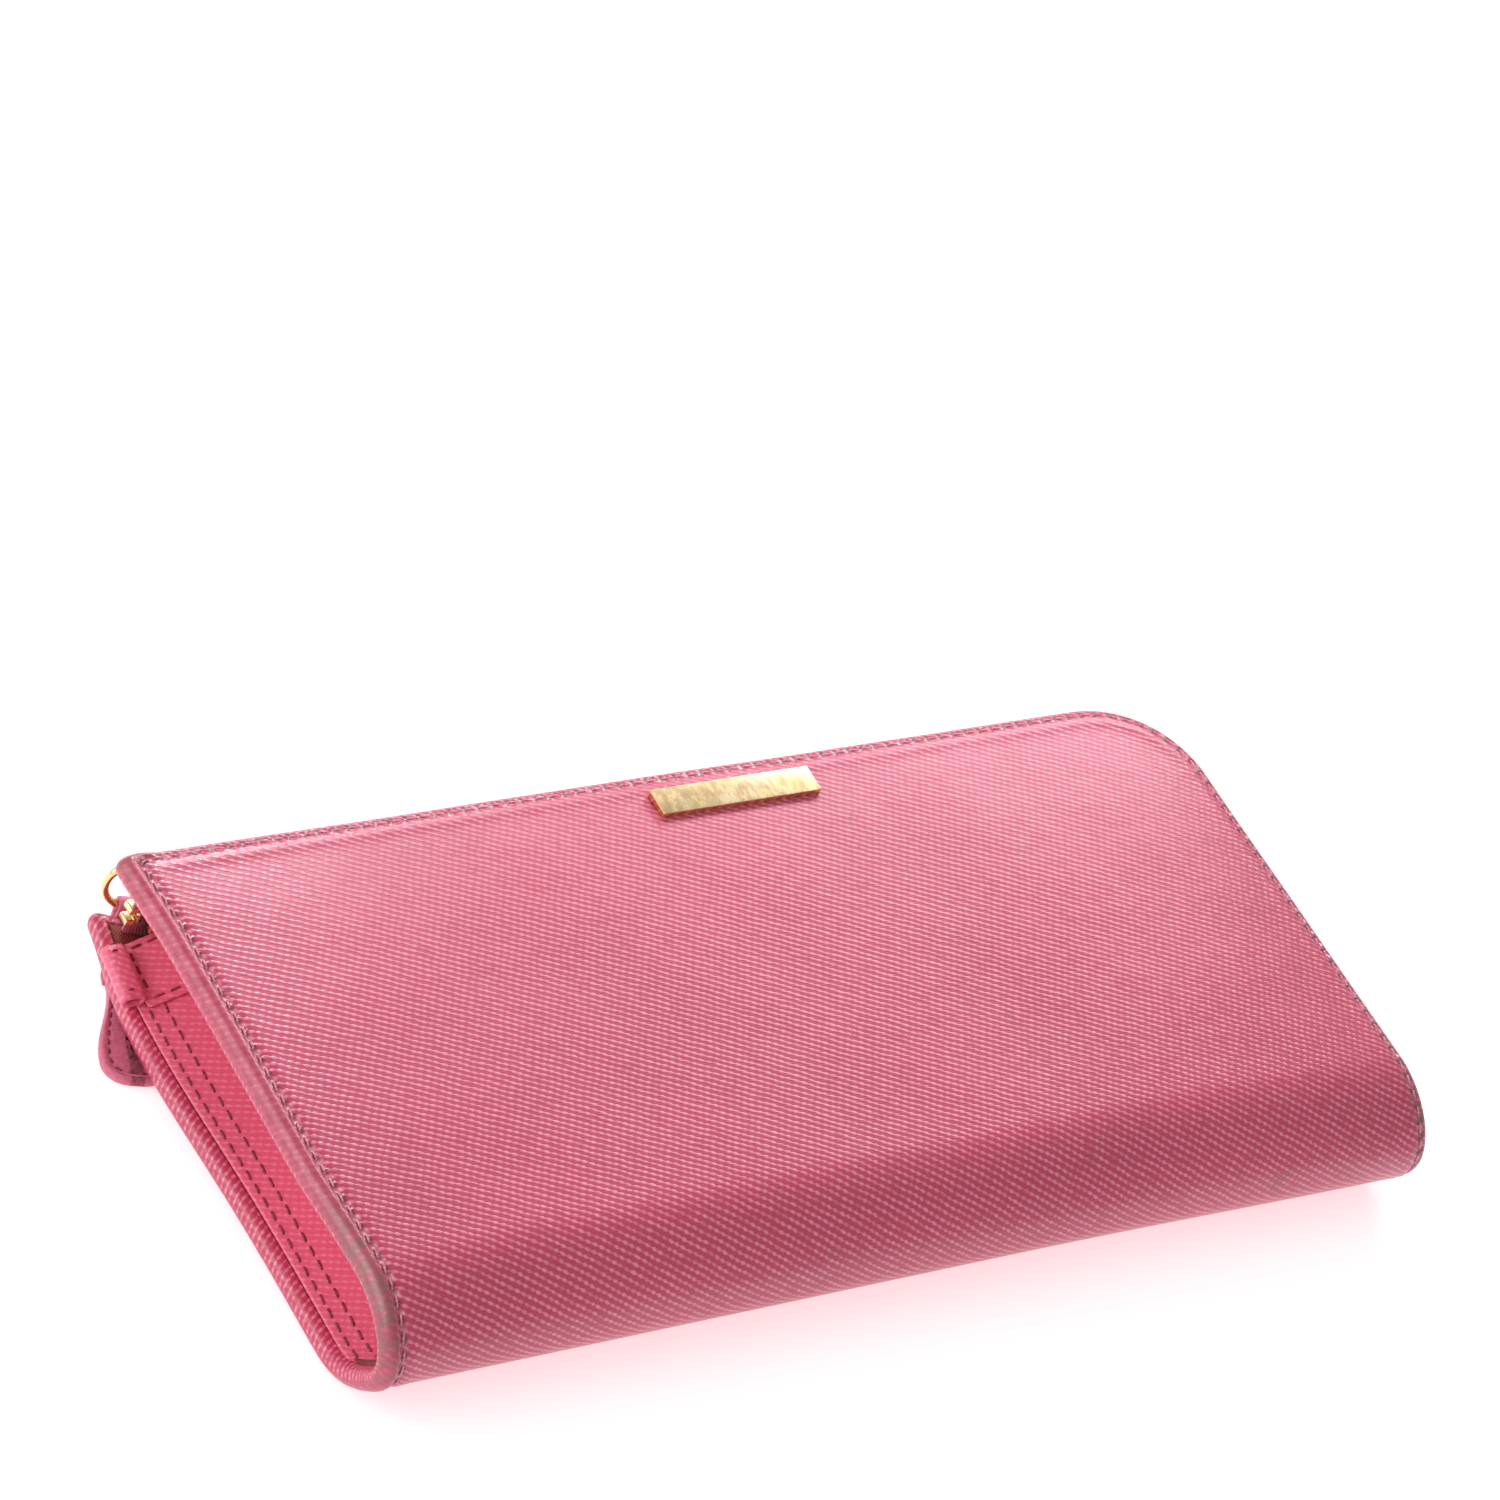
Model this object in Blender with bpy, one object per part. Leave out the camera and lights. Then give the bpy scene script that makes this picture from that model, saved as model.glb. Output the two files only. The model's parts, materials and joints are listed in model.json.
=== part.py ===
"""Long L-zip wallet with a left gusset, a divided interior, a zipped coin pocket and a leather zip pull.

The wallet lies on its back. +X runs along the wallet, +Y from the folded spine to the zipped edge, +Z is up.
It is modelled in a wallet frame (x, y, w), with w the height above the rear panel, and that frame is tipped
a little about X, because the pull tab lies under the zipped edge.
"""
import math

import bmesh
import bpy

# ---- the whole wallet, metres ----
LENGTH, DEPTH, THICK = 0.195, 0.093, 0.0205
FOLD_REACH = 0.0145          # how far the spine's fold reaches past the flat panels
CORNER_R = 0.0175            # rounded corner where the zip turns down the right side
SHARP_R = 0.0020             # the other panel corners
MIN_CORNER_R = 0.0006
GAP = 0.0003                 # clearance between touching pieces
TILT = math.radians(2.8)
CENTRE_X, CENTRE_Y = 0.00317, -0.00161     # set the wallet so that the model's box is centred on the origin

# ---- the plies of a panel, from the outside in ----
LEATHER = 0.0013
TURNED_EDGE, EDGE_WIDTH = 0.0034, 0.0023   # thickness and width of the turned and padded edge
BOARD = 0.0010
LINING = 0.0006
PLY_GAP = 0.00035            # clearance between the plies
DROP_Y, EDGE_DROP = 0.016, 0.0003          # from here the outer leather slopes in towards the zipped edge
BILL_GAP, BILL_PANEL = 0.0006, 0.0006
SLOT, SLOT_GAP = 0.0005, 0.00025
POCKET_LOW = -0.036          # where the bill panels and card slots end, near the spine
BILL_LEFT, BILL_RIGHT, BILL_TOP = -0.086, 0.090, 0.038
SLOT_LEFT, SLOT_RIGHT, SLOT_TOPS = -0.079, 0.084, (0.026, 0.016, 0.006)

# ---- places that follow from them ----
LEFT, RIGHT = -LENGTH / 2, LENGTH / 2
BACK, FRONT = -DEPTH / 2, DEPTH / 2          # the spine's outermost line and the zipped edge
MID = THICK / 2
FOLD_Y = BACK + FOLD_REACH                   # where the flat panels begin
WALL = LEATHER + BOARD + LINING + 2 * PLY_GAP
LIFT = math.hypot(FOLD_REACH * math.sin(TILT), MID * math.cos(TILT)) - (
    FOLD_Y * math.sin(TILT) + MID * math.cos(TILT))
SIDE_ON = (math.pi / 2, 0, math.pi / 2)      # lays an outline (y, w) out and extrudes it along X
EDGE_ON = (math.pi / 2, 0, 0)                # lays an outline (x, w) out and extrudes it along Y
ALONG_X = (0, math.pi / 2, 0)                # turns a cylinder's axis from Z to X

# ---- the main zip ----
COVER_CLEAR = 0.0007         # half the gap between the two rows of zip teeth
ZIP_INSET = 0.0027           # the zip's middle plane, inside the panel edge
ZIP_START_X, ZIP_END_Y = LEFT + 0.0042, -0.022      # its closed end, and its lower end on the right side
TEETH_HIGH, TEETH_HALF, TAPE_HALF = 0.0012, 0.0010, 0.0003
TAPE_OVERRUN_X, TAPE_OVERRUN_Y = 0.0006, 0.003      # how far the tape runs on past the teeth
STOP_LONG, STOP_HALF = 0.0016, 0.0011
END_TAB_LONG, END_TAB_HALF = 0.0090, 0.0009
SLIDER_X = LEFT + 0.0105
SLIDER_LONG, SLIDER_WIDE, SLIDER_GAP, SLIDER_PLATE = 0.0092, 0.0074, 0.0028, 0.0010
ARCH_RISE, ARCH_WIRE = 0.0022, 0.0009
POST_WIDE = 0.0008
POST_SPAN = (-0.42, -0.10)                   # the post's ends, as shares of the slider's length
ARCH_FOOT, ARCH_SHOULDER, ARCH_TOP = 0.34, 0.26, 0.27      # the arch's half widths, in the same shares

# ---- the ring and the pull tab ----
RING_R, RING_WIRE = 0.0044, 0.00065
RING_TURN = math.radians(162)                # direction of the ring from the slider, about Z from +X
TAB_LONG, TAB_WIDE, TAB_THICK = 0.0280, 0.0104, 0.0020
TAB_FLARE, FLARE_STEP = 0.0085, 0.0004       # where the tab begins to widen, and by how much it has there
TAB_CORNER = 0.0036
NECK_WIDE, NECK_OVERLAP = 0.0030, 0.003
BEND_R = 0.0020                              # middle line of the neck's bend on to the floor
KNUCKLE_R, EYE_R = 0.0017, 0.0011

# ---- the left end ----
GUSSET_X, GUSSET_DEPTH, GUSSET_PLY = LEFT + 0.0030, 0.0205, 0.0007
GUSSET_LOW, GUSSET_TOP = -0.030, 0.0405
LOOP_LOW = (LEFT - 0.0016, 0.0310, WALL + 2 * GAP)
LOOP_HIGH = (LEFT + 0.0026, 0.0405, WALL + 2 * GAP + 0.0026)
LOOP_WALL = 0.0008

# ---- the coin pocket ----
COIN_LEFT, COIN_RIGHT, COIN_LOW, COIN_TOP = -0.0700, 0.0840, -0.0390, 0.0290
COIN_HALF, COIN_WALL, COIN_END = 0.0022, 0.0006, 0.0008     # half its inner thickness, walls, end gussets
COIN_END_DROP = 0.0025                       # how far the end gussets stop below the pocket's top
COIN_TEETH_NEAR, COIN_TEETH_FAR = 0.0006, 0.0012            # from the middle plane
COIN_TEETH_IN, COIN_TEETH_DROP = 0.004, (0.0020, 0.0006)    # in from the pocket's ends, down from its top
COIN_TAPE_IN, COIN_TAPE_DROP = 0.003, (0.0016, 0.0011)
COIN_ZIP_DROP = 0.0013
COIN_SLIDER_X = COIN_LEFT + 0.012
COIN_SLIDER_LONG, COIN_SLIDER_WIDE, COIN_SLIDER_GAP, COIN_PLATE = 0.0070, 0.0036, 0.0022, 0.0007
COIN_ARCH_RISE, COIN_ARCH_WIRE = 0.0016, 0.0006
PULL_LONG, PULL_HALF, PULL_THICK, PULL_BACK = 0.0085, 0.0014, 0.0007, 0.0007
PULL_EYE_LOW, PULL_EYE_HIGH = (-0.0002, -0.0010, -0.0009), (0.0030, 0.0010, 0.0009)

# ---- the gold bar on the front ----
ORNAMENT_X, ORNAMENT_Y = 0.0075, 0.0390
ORNAMENT_LONG, ORNAMENT_WIDE, ORNAMENT_HIGH = 0.0300, 0.0050, 0.0011
PRONG_R, PRONG_LONG, PRONG_SPREAD = 0.0008, 0.0016, 0.7     # the spread is a share of the bar's half length
PRONG_HOLE_LONG = 0.006

# ---- looks: name, colour, roughness, metallic ----
PINK = ("pink_leather", (0.62, 0.085, 0.165), 0.42, 0.0)
BOARD_GREY = ("board", (0.35, 0.32, 0.29), 0.9, 0.0)
TAPE_PINK = ("zip_tape", (0.55, 0.08, 0.16), 0.8, 0.0)
GOLD = ("gold", (0.86, 0.62, 0.26), 0.22, 1.0)
LINING_RED = ("lining", (0.50, 0.10, 0.06), 0.55, 0.0)


def clear_scene():
    for old in list(bpy.data.objects):
        bpy.data.objects.remove(old, do_unlink=True)


def collection(name):
    made = bpy.data.collections.new(name)
    bpy.context.scene.collection.children.link(made)
    return made


clear_scene()
PARTS = collection("wristlet_wallet")
CUTTERS = collection("cutters")


def material(look):
    name, colour, roughness, metallic = look
    found = bpy.data.materials.get(name)
    if found:
        return found
    made = bpy.data.materials.new(name)
    made.use_nodes = True
    shader = made.node_tree.nodes["Principled BSDF"]
    shader.inputs["Base Color"].default_value = (*colour, 1.0)
    shader.inputs["Roughness"].default_value = roughness
    shader.inputs["Metallic"].default_value = metallic
    return made


def empty(name, at, parent=None, rotation=(0, 0, 0)):
    made = bpy.data.objects.new(name, None)
    made.location = at
    made.rotation_euler = rotation
    made.parent = parent
    PARTS.objects.link(made)
    return made


def to_world(x, y, w):
    """The world point of a point in the wallet frame."""
    return (x + CENTRE_X, y * math.cos(TILT) - w * math.sin(TILT) + CENTRE_Y,
            y * math.sin(TILT) + w * math.cos(TILT) + LIFT)


WALLET = empty("wallet_frame", to_world(0, 0, 0), rotation=(TILT, 0, 0))
COVER = empty("cover_hinge", (0, BACK, MID), WALLET)
DIVIDER = empty("divider_hinge", (0, BACK, MID), WALLET)


def adopt(part, parent, at, look):
    """Gives a part its place under a parent, at a point in the parent's surroundings, and its material."""
    part.parent = parent
    part.location = [a - b for a, b in zip(at, parent.location)] if parent in (COVER, DIVIDER) else at
    part.data.materials.clear()
    part.data.materials.append(material(look))
    for holder in list(part.users_collection):
        holder.objects.unlink(part)
    PARTS.objects.link(part)
    return part


def mesh_from(maker):
    """Turns a curve object into a mesh object with welded caps."""
    graph = bpy.context.evaluated_depsgraph_get()
    graph.update()
    mesh = bpy.data.meshes.new_from_object(maker.evaluated_get(graph))
    welded = bmesh.new()
    welded.from_mesh(mesh)
    bmesh.ops.remove_doubles(welded, verts=welded.verts, dist=1e-6)
    bmesh.ops.recalc_face_normals(welded, faces=welded.faces)
    welded.to_mesh(mesh)
    welded.free()
    made = bpy.data.objects.new(maker.name, mesh)
    made.matrix_world = maker.matrix_world
    name = maker.name
    bpy.data.objects.remove(maker, do_unlink=True)
    PARTS.objects.link(made)
    made.name = name
    return made


def extrusion(name, outline, height):
    """A flat outline given a height, centred on its own plane."""
    curve = bpy.data.curves.new(name, "CURVE")
    curve.dimensions = "2D"
    curve.fill_mode = "BOTH"
    curve.extrude = height / 2
    line = curve.splines.new("POLY")
    line.points.add(len(outline) - 1)
    for point, (a, b) in zip(line.points, outline):
        point.co = (a, b, 0, 1)
    line.use_cyclic_u = True
    made = bpy.data.objects.new(name, curve)
    PARTS.objects.link(made)
    return mesh_from(made)


def box(name, low, high):
    """A box between two corners, with its origin at its centre."""
    bpy.ops.mesh.primitive_cube_add(size=1)
    made = bpy.context.object
    made.name = name
    size = [b - a for a, b in zip(low, high)]
    made.data.transform([[size[0], 0, 0, 0], [0, size[1], 0, 0], [0, 0, size[2], 0], [0, 0, 0, 1]])
    made.location = [(a + b) / 2 for a, b in zip(low, high)]
    return made


def cutter(part):
    """Keeps a shape as a cutting tool only."""
    part.hide_render = True
    part.display_type = "WIRE"
    for holder in list(part.users_collection):
        holder.objects.unlink(part)
    CUTTERS.objects.link(part)
    return part


def boolean(part, tool, operation):
    step = part.modifiers.new(operation.lower(), "BOOLEAN")
    step.operation = operation
    step.object = tool
    step.solver = "EXACT"


def arc(centre, radius, start, end, count=8):
    """Points on an arc, in degrees, both ends included."""
    points = []
    for step in range(count + 1):
        turn = math.radians(start + (end - start) * step / count)
        points.append((centre[0] + radius * math.cos(turn), centre[1] + radius * math.sin(turn)))
    return points


def panel_outline(inset, low_y):
    """The panel seen from above, drawn in from its edges, from low_y to the zipped edge."""
    left, right, top = LEFT + inset, RIGHT - inset, FRONT - inset
    big = CORNER_R - inset
    small = max(SHARP_R - inset, MIN_CORNER_R)
    outline = [(left, low_y), (right, low_y)]
    outline += arc((right - big, top - big), big, 0, 90)
    outline += arc((left + small, top - small), small, 90, 180, 4)
    return outline


def fold_line(depth, side, count=10):
    """The panel's section at a depth under its outer surface, from the spine's middle to the zipped edge."""
    points = []
    for step in range(count + 1):
        turn = math.pi / 2 * step / count
        across, up = FOLD_REACH * math.cos(turn), MID * math.sin(turn)
        nx, nz = math.cos(turn) / FOLD_REACH, math.sin(turn) / MID
        size = math.hypot(nx, nz)
        points.append((FOLD_Y - across + depth * nx / size, up - depth * nz / size))
    points[0] = (points[0][0], GAP / 2)
    points += [(DROP_Y, MID - depth), (FRONT, MID - depth - EDGE_DROP)]
    return [(y, MID + side * w) for y, w in points]


def sheet(name, side, outer, inner, length, inset):
    """A bent panel between two depths under the outer surface, with its corner rounded."""
    outline = fold_line(outer, side) + fold_line(inner, side)[::-1]
    made = extrusion(name, outline, length)
    made.rotation_euler = SIDE_ON
    trim = cutter(extrusion(name + "_trim", panel_outline(inset, BACK - GAP), 2 * THICK))
    trim.parent = WALLET
    trim.location = (0, 0, MID)
    boolean(made, trim, "INTERSECT")
    return made


def outer_leather(name, side, parent):
    """One half of the outer leather: a bent panel with its edges turned in."""
    made = sheet(name, side, 0, TURNED_EDGE, LENGTH, 0)
    hollow = sheet(name + "_hollow", side, LEATHER, TURNED_EDGE + GAP, LENGTH - 2 * EDGE_WIDTH, EDGE_WIDTH)
    extend_hollow(hollow)
    hollow.parent = WALLET
    boolean(made, cutter(hollow), "DIFFERENCE")
    return adopt(made, parent, (0, 0, 0), PINK)


def extend_hollow(hollow):
    """Lets the hollow run out through the split at the spine's middle."""
    for vertex in hollow.data.vertices:
        if abs(vertex.co.y - MID) < GAP:
            vertex.co.y = MID


def panel_ply(name, side, start, thickness, inset, parent, look):
    """A flat ply inside a panel, start being its depth under the outer surface."""
    made = extrusion(name, panel_outline(inset, FOLD_Y + GAP), thickness)
    return adopt(made, parent, (0, 0, MID + side * (MID - start - thickness / 2)), look)


def lining(name, side, parent):
    """The lining, which also covers the inside of the fold."""
    start = WALL - LINING
    made = sheet(name, side, start, WALL, LENGTH - 2 * (EDGE_WIDTH + GAP), EDGE_WIDTH + GAP)
    return adopt(made, parent, (0, 0, 0), LINING_RED)


def inner_panels(prefix, side, parent):
    """A bill panel and the stepped card slots in front of it."""
    depth = WALL + BILL_GAP
    layers = [(prefix + "_bill_panel", BILL_PANEL, (BILL_LEFT, BILL_RIGHT), BILL_TOP)]
    for number, top in enumerate(SLOT_TOPS, start=1):
        layers.append((f"{prefix}_card_slot_{number}", SLOT, (SLOT_LEFT, SLOT_RIGHT), top))
    for name, thickness, (left, right), top in layers:
        w = MID + side * (MID - depth - thickness / 2)
        made = box(name, (left, POCKET_LOW, w - thickness / 2), (right, top, w + thickness / 2))
        adopt(made, parent, tuple(made.location), LINING_RED if prefix == "rear" else PINK)
        depth += thickness + SLOT_GAP


def zip_band(half_width, start_x, end_y):
    """An outline that follows the zip: along the top edge, round the corner and down the right side."""
    top, right, radius = FRONT - ZIP_INSET, RIGHT - ZIP_INSET, CORNER_R - ZIP_INSET
    centre = (right - radius, top - radius)
    outline = [(right + half_width, end_y)] + arc(centre, radius + half_width, 0, 90)
    outline += [(start_x, top + half_width), (start_x, top - half_width)]
    return outline + arc(centre, radius - half_width, 90, 0) + [(right - half_width, end_y)]


def zip_half(prefix, side, parent):
    """One side of the zip: its row of teeth and its tape."""
    low, high = COVER_CLEAR, COVER_CLEAR + TEETH_HIGH
    teeth = extrusion(prefix + "_zip_teeth", zip_band(TEETH_HALF, ZIP_START_X, ZIP_END_Y), TEETH_HIGH)
    adopt(teeth, parent, (0, 0, MID + side * (low + high) / 2), GOLD)
    low, high = high + GAP, MID - WALL - GAP
    band = zip_band(TAPE_HALF, ZIP_START_X - TAPE_OVERRUN_X, ZIP_END_Y - TAPE_OVERRUN_Y)
    tape = extrusion(prefix + "_zip_tape", band, high - low)
    adopt(tape, parent, (0, 0, MID + side * (low + high) / 2), TAPE_PINK)


def layer(side, near, far):
    """The heights of a layer between two distances from the wallet's middle plane, the lower one first."""
    return sorted((MID + side * near, MID + side * far))


def zip_stops():
    """The stops at the closed end, one on each row, and the leather tab over the zip's lower end."""
    y, end_x = FRONT - ZIP_INSET, ZIP_START_X - GAP
    for prefix, side, parent in (("rear", -1, WALLET), ("front", 1, COVER)):
        low, high = layer(side, COVER_CLEAR, COVER_CLEAR + TEETH_HIGH)
        stop = box(prefix + "_zip_stop", (end_x - STOP_LONG, y - STOP_HALF, low),
                   (end_x, y + STOP_HALF, high))
        adopt(stop, parent, tuple(stop.location), GOLD)
    x, top = RIGHT - ZIP_INSET, ZIP_END_Y - TAPE_OVERRUN_Y
    end = box("zip_end_tab", (x - END_TAB_HALF, top - END_TAB_LONG, WALL + 2 * GAP),
              (x + END_TAB_HALF, top - GAP, MID - GAP))
    adopt(end, WALLET, tuple(end.location), PINK)


def left_gusset():
    """The folded gusset that closes the left end, its fold pointing into the wallet."""
    rise = MID - WALL - GAP
    outline = [(GUSSET_X, MID - rise), (GUSSET_X + GUSSET_DEPTH, MID - GUSSET_PLY),
               (GUSSET_X + GUSSET_DEPTH, MID + GUSSET_PLY), (GUSSET_X, MID + rise),
               (GUSSET_X, MID + rise - 2 * GUSSET_PLY), (GUSSET_X + GUSSET_DEPTH - 3 * GUSSET_PLY, MID),
               (GUSSET_X, MID - rise + 2 * GUSSET_PLY)]
    made = extrusion("left_gusset", outline, GUSSET_TOP - GUSSET_LOW)
    made.rotation_euler = EDGE_ON
    return adopt(made, WALLET, (0, (GUSSET_LOW + GUSSET_TOP) / 2, 0), PINK)


def strap_loop():
    """The stitched loop for a wrist strap, a flat tunnel beside the rear edge at the gusset's top."""
    made = box("strap_loop", LOOP_LOW, LOOP_HIGH)
    walls = (LOOP_WALL, -GAP, LOOP_WALL)
    slot = cutter(box("strap_slot", [a + b for a, b in zip(LOOP_LOW, walls)],
                      [a - b for a, b in zip(LOOP_HIGH, walls)]))
    slot.parent = WALLET
    adopt(made, WALLET, tuple(made.location), PINK)
    boolean(made, slot, "DIFFERENCE")


def coin_strip(name, inset, drops, heights, look):
    """A strip along the coin pocket's top edge."""
    strip = box(name, (COIN_LEFT + inset, COIN_TOP - drops[0], heights[0]),
                (COIN_RIGHT - inset, COIN_TOP - drops[1], heights[1]))
    adopt(strip, DIVIDER, tuple(strip.location), look)


def coin_pocket():
    """The centre pocket: two walls, a bottom fold, two end gussets and its zip."""
    inner = COIN_HALF - GAP
    for prefix, side in (("front", 1), ("rear", -1)):
        low, high = layer(side, COIN_HALF, COIN_HALF + COIN_WALL)
        wall = box(f"coin_{prefix}_wall", (COIN_LEFT, COIN_LOW, low), (COIN_RIGHT, COIN_TOP, high))
        adopt(wall, DIVIDER, tuple(wall.location), LINING_RED)
        coin_strip(f"coin_{prefix}_tape", COIN_TAPE_IN, COIN_TAPE_DROP,
                   layer(side, COIN_TEETH_FAR + GAP, inner), TAPE_PINK)
        coin_strip(f"coin_{prefix}_teeth", COIN_TEETH_IN, COIN_TEETH_DROP,
                   layer(side, COIN_TEETH_NEAR, COIN_TEETH_FAR), GOLD)
    bottom = box("coin_bottom_fold", (COIN_LEFT, COIN_LOW, MID - inner),
                 (COIN_RIGHT, COIN_LOW + COIN_END, MID + inner))
    adopt(bottom, DIVIDER, tuple(bottom.location), LINING_RED)
    for name, x in (("coin_left_gusset", COIN_LEFT), ("coin_right_gusset", COIN_RIGHT - COIN_END)):
        end = box(name, (x, COIN_LOW + COIN_END + GAP, MID - inner),
                  (x + COIN_END, COIN_TOP - COIN_END_DROP, MID + inner))
        adopt(end, DIVIDER, tuple(end.location), LINING_RED)


def slider_casting(name, length, width, gap_y, plate, arch_rise, wire):
    """A zip slider about its own origin: two plates, a post between them and an arch over the outer one."""
    half = gap_y / 2
    body = box(name, (-length / 2, half, -width / 2), (length / 2, half + plate, width / 2))
    inner = box(name + "_inner", (-length / 2, -half - plate, -width / 2), (length / 2, -half, width / 2))
    post = box(name + "_post", (length * POST_SPAN[0], -half - plate / 2, -POST_WIDE / 2),
               (length * POST_SPAN[1], half + plate / 2, POST_WIDE / 2))
    base, top = half + plate / 2, half + plate + arch_rise + wire
    foot, shoulder, crown = length * ARCH_FOOT, length * ARCH_SHOULDER, length * ARCH_TOP
    arch = extrusion(name + "_arch", [
        (-foot, base), (-foot + wire, base), (-shoulder + wire, top - wire), (shoulder - wire, top - wire),
        (foot - wire, base), (foot, base), (crown, top), (-crown, top)], 2 * wire)
    for extra in (inner, post, arch):
        cutter(extra)
        extra.parent = body
        extra.matrix_parent_inverse.identity()
        extra.location = [a - b for a, b in zip(extra.location, body.location)]
        boolean(body, extra, "UNION")
    return body


def zip_slider():
    """The main zip's slider, at the closed end."""
    made = slider_casting("zip_slider", SLIDER_LONG, SLIDER_WIDE, SLIDER_GAP, SLIDER_PLATE, ARCH_RISE,
                          ARCH_WIRE)
    offset = tuple(made.location)
    at = (SLIDER_X, FRONT - ZIP_INSET, MID)
    return adopt(made, WALLET, tuple(a + b for a, b in zip(at, offset)), GOLD)


def ring_pivot():
    """World point where the ring passes under the slider's arch."""
    return to_world(SLIDER_X, FRONT - ZIP_INSET + SLIDER_GAP / 2 + SLIDER_PLATE + ARCH_RISE / 2, MID)


def pull_ring():
    """The gold ring, standing upright, one side of it under the arch."""
    pivot = empty("ring_pivot", ring_pivot(), rotation=(0, 0, RING_TURN))
    bpy.ops.mesh.primitive_torus_add(major_radius=RING_R, minor_radius=RING_WIRE, major_segments=28,
                                     minor_segments=8)
    ring = bpy.context.object
    ring.name = "pull_ring"
    ring.rotation_euler = (math.pi / 2, 0, 0)
    return adopt(ring, pivot, (RING_R, 0, 0), GOLD)


def tab_outline():
    """The tab from above: x along the ring, y along the tab, away from the ring."""
    half, neck, flared = TAB_WIDE / 2, NECK_WIDE / 2, NECK_WIDE / 2 + FLARE_STEP
    outline = [(-neck, BEND_R), (neck, BEND_R), (flared, TAB_FLARE)]
    outline += arc((half - TAB_CORNER, TAB_LONG - TAB_CORNER), TAB_CORNER, -15, 90, 6)
    outline += arc((TAB_CORNER - half, TAB_LONG - TAB_CORNER), TAB_CORNER, 90, 195, 6)
    return outline + [(-flared, TAB_FLARE)]


def cylinder_x(radius, length, sides):
    """A cylinder lying along X."""
    bpy.ops.mesh.primitive_cylinder_add(vertices=sides, radius=radius, depth=length, rotation=ALONG_X)
    return bpy.context.object


def pull_tab():
    """The leather tab: an eye on the ring, a neck down past the rear edge, the tab flat under the wallet."""
    x, y, z = ring_pivot()
    eye = (x + RING_R * math.cos(RING_TURN), y + RING_R * math.sin(RING_TURN), z - RING_R)
    pivot = empty("tab_pivot", eye, rotation=(0, 0, RING_TURN))
    drop = eye[2] - TAB_THICK / 2
    tab = extrusion("pull_tab", tab_outline(), TAB_THICK)
    half = TAB_THICK / 2
    neck_outline = [(-half, 0.0), (half, 0.0)]
    neck_outline += arc((BEND_R, BEND_R - drop), BEND_R - half, 180, 270, 5)
    neck_outline += [(BEND_R + NECK_OVERLAP, -drop + half), (BEND_R + NECK_OVERLAP, -drop - half)]
    neck_outline += arc((BEND_R, BEND_R - drop), BEND_R + half, 270, 180, 6)
    neck = extrusion("tab_neck", neck_outline, NECK_WIDE)
    knuckle, hole = cylinder_x(KNUCKLE_R, NECK_WIDE, 20), cylinder_x(EYE_R, 3 * NECK_WIDE, 20)
    for piece, turn in ((neck, SIDE_ON), (knuckle, ALONG_X), (hole, ALONG_X)):
        cutter(piece)
        piece.parent = pivot
        piece.location = (0, 0, 0)
        piece.rotation_euler = turn
    boolean(tab, neck, "UNION")
    boolean(tab, knuckle, "UNION")
    boolean(tab, hole, "DIFFERENCE")
    return adopt(tab, pivot, (0, 0, -drop), PINK)


def coin_slider():
    """The coin zip's slider; returns the empty that its puller swings about."""
    made = slider_casting("coin_slider", COIN_SLIDER_LONG, COIN_SLIDER_WIDE, COIN_SLIDER_GAP, COIN_PLATE,
                          COIN_ARCH_RISE, COIN_ARCH_WIRE)
    offset = tuple(made.location)
    at = (COIN_SLIDER_X, COIN_TOP - COIN_ZIP_DROP, MID)
    adopt(made, DIVIDER, tuple(a + b for a, b in zip(at, offset)), GOLD)
    pivot_y = at[1] + COIN_SLIDER_GAP / 2 + COIN_PLATE + COIN_ARCH_RISE / 2
    return empty("coin_pull_pivot", (at[0], pivot_y - BACK, 0), DIVIDER)


def coin_puller(pivot):
    """The puller on the coin slider, lying along the zip."""
    outline = [(-PULL_BACK, -PULL_HALF)] + arc((PULL_LONG, 0), PULL_HALF, -90, 90, 6)
    outline.append((-PULL_BACK, PULL_HALF))
    pull = extrusion("coin_pull", outline, PULL_THICK)
    eye = cutter(box("coin_pull_eye", PULL_EYE_LOW, PULL_EYE_HIGH))
    pull.rotation_euler = EDGE_ON
    adopt(pull, pivot, (0, 0, 0), GOLD)
    eye.parent = pivot
    boolean(pull, eye, "DIFFERENCE")


def prong_tool(x, radius, length):
    """An upright cylinder through the cover's face, for a prong or its hole."""
    bpy.ops.mesh.primitive_cylinder_add(vertices=12, radius=radius, depth=length)
    tool = cutter(bpy.context.object)
    tool.parent = WALLET
    tool.location = (x, ORNAMENT_Y, THICK)
    return tool


def ornament_bar(cover):
    """A plain gold bar held by two prongs that pass through the cover's leather."""
    half_long, half_wide = ORNAMENT_LONG / 2, ORNAMENT_WIDE / 2
    bar = box("ornament_bar", (ORNAMENT_X - half_long, ORNAMENT_Y - half_wide, THICK),
              (ORNAMENT_X + half_long, ORNAMENT_Y + half_wide, THICK + ORNAMENT_HIGH))
    adopt(bar, COVER, tuple(bar.location), GOLD)
    for side in (-1, 1):
        x = ORNAMENT_X + side * half_long * PRONG_SPREAD
        boolean(bar, prong_tool(x, PRONG_R, PRONG_LONG), "UNION")
        boolean(cover, prong_tool(x, PRONG_R + GAP, PRONG_HOLE_LONG), "DIFFERENCE")


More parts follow.
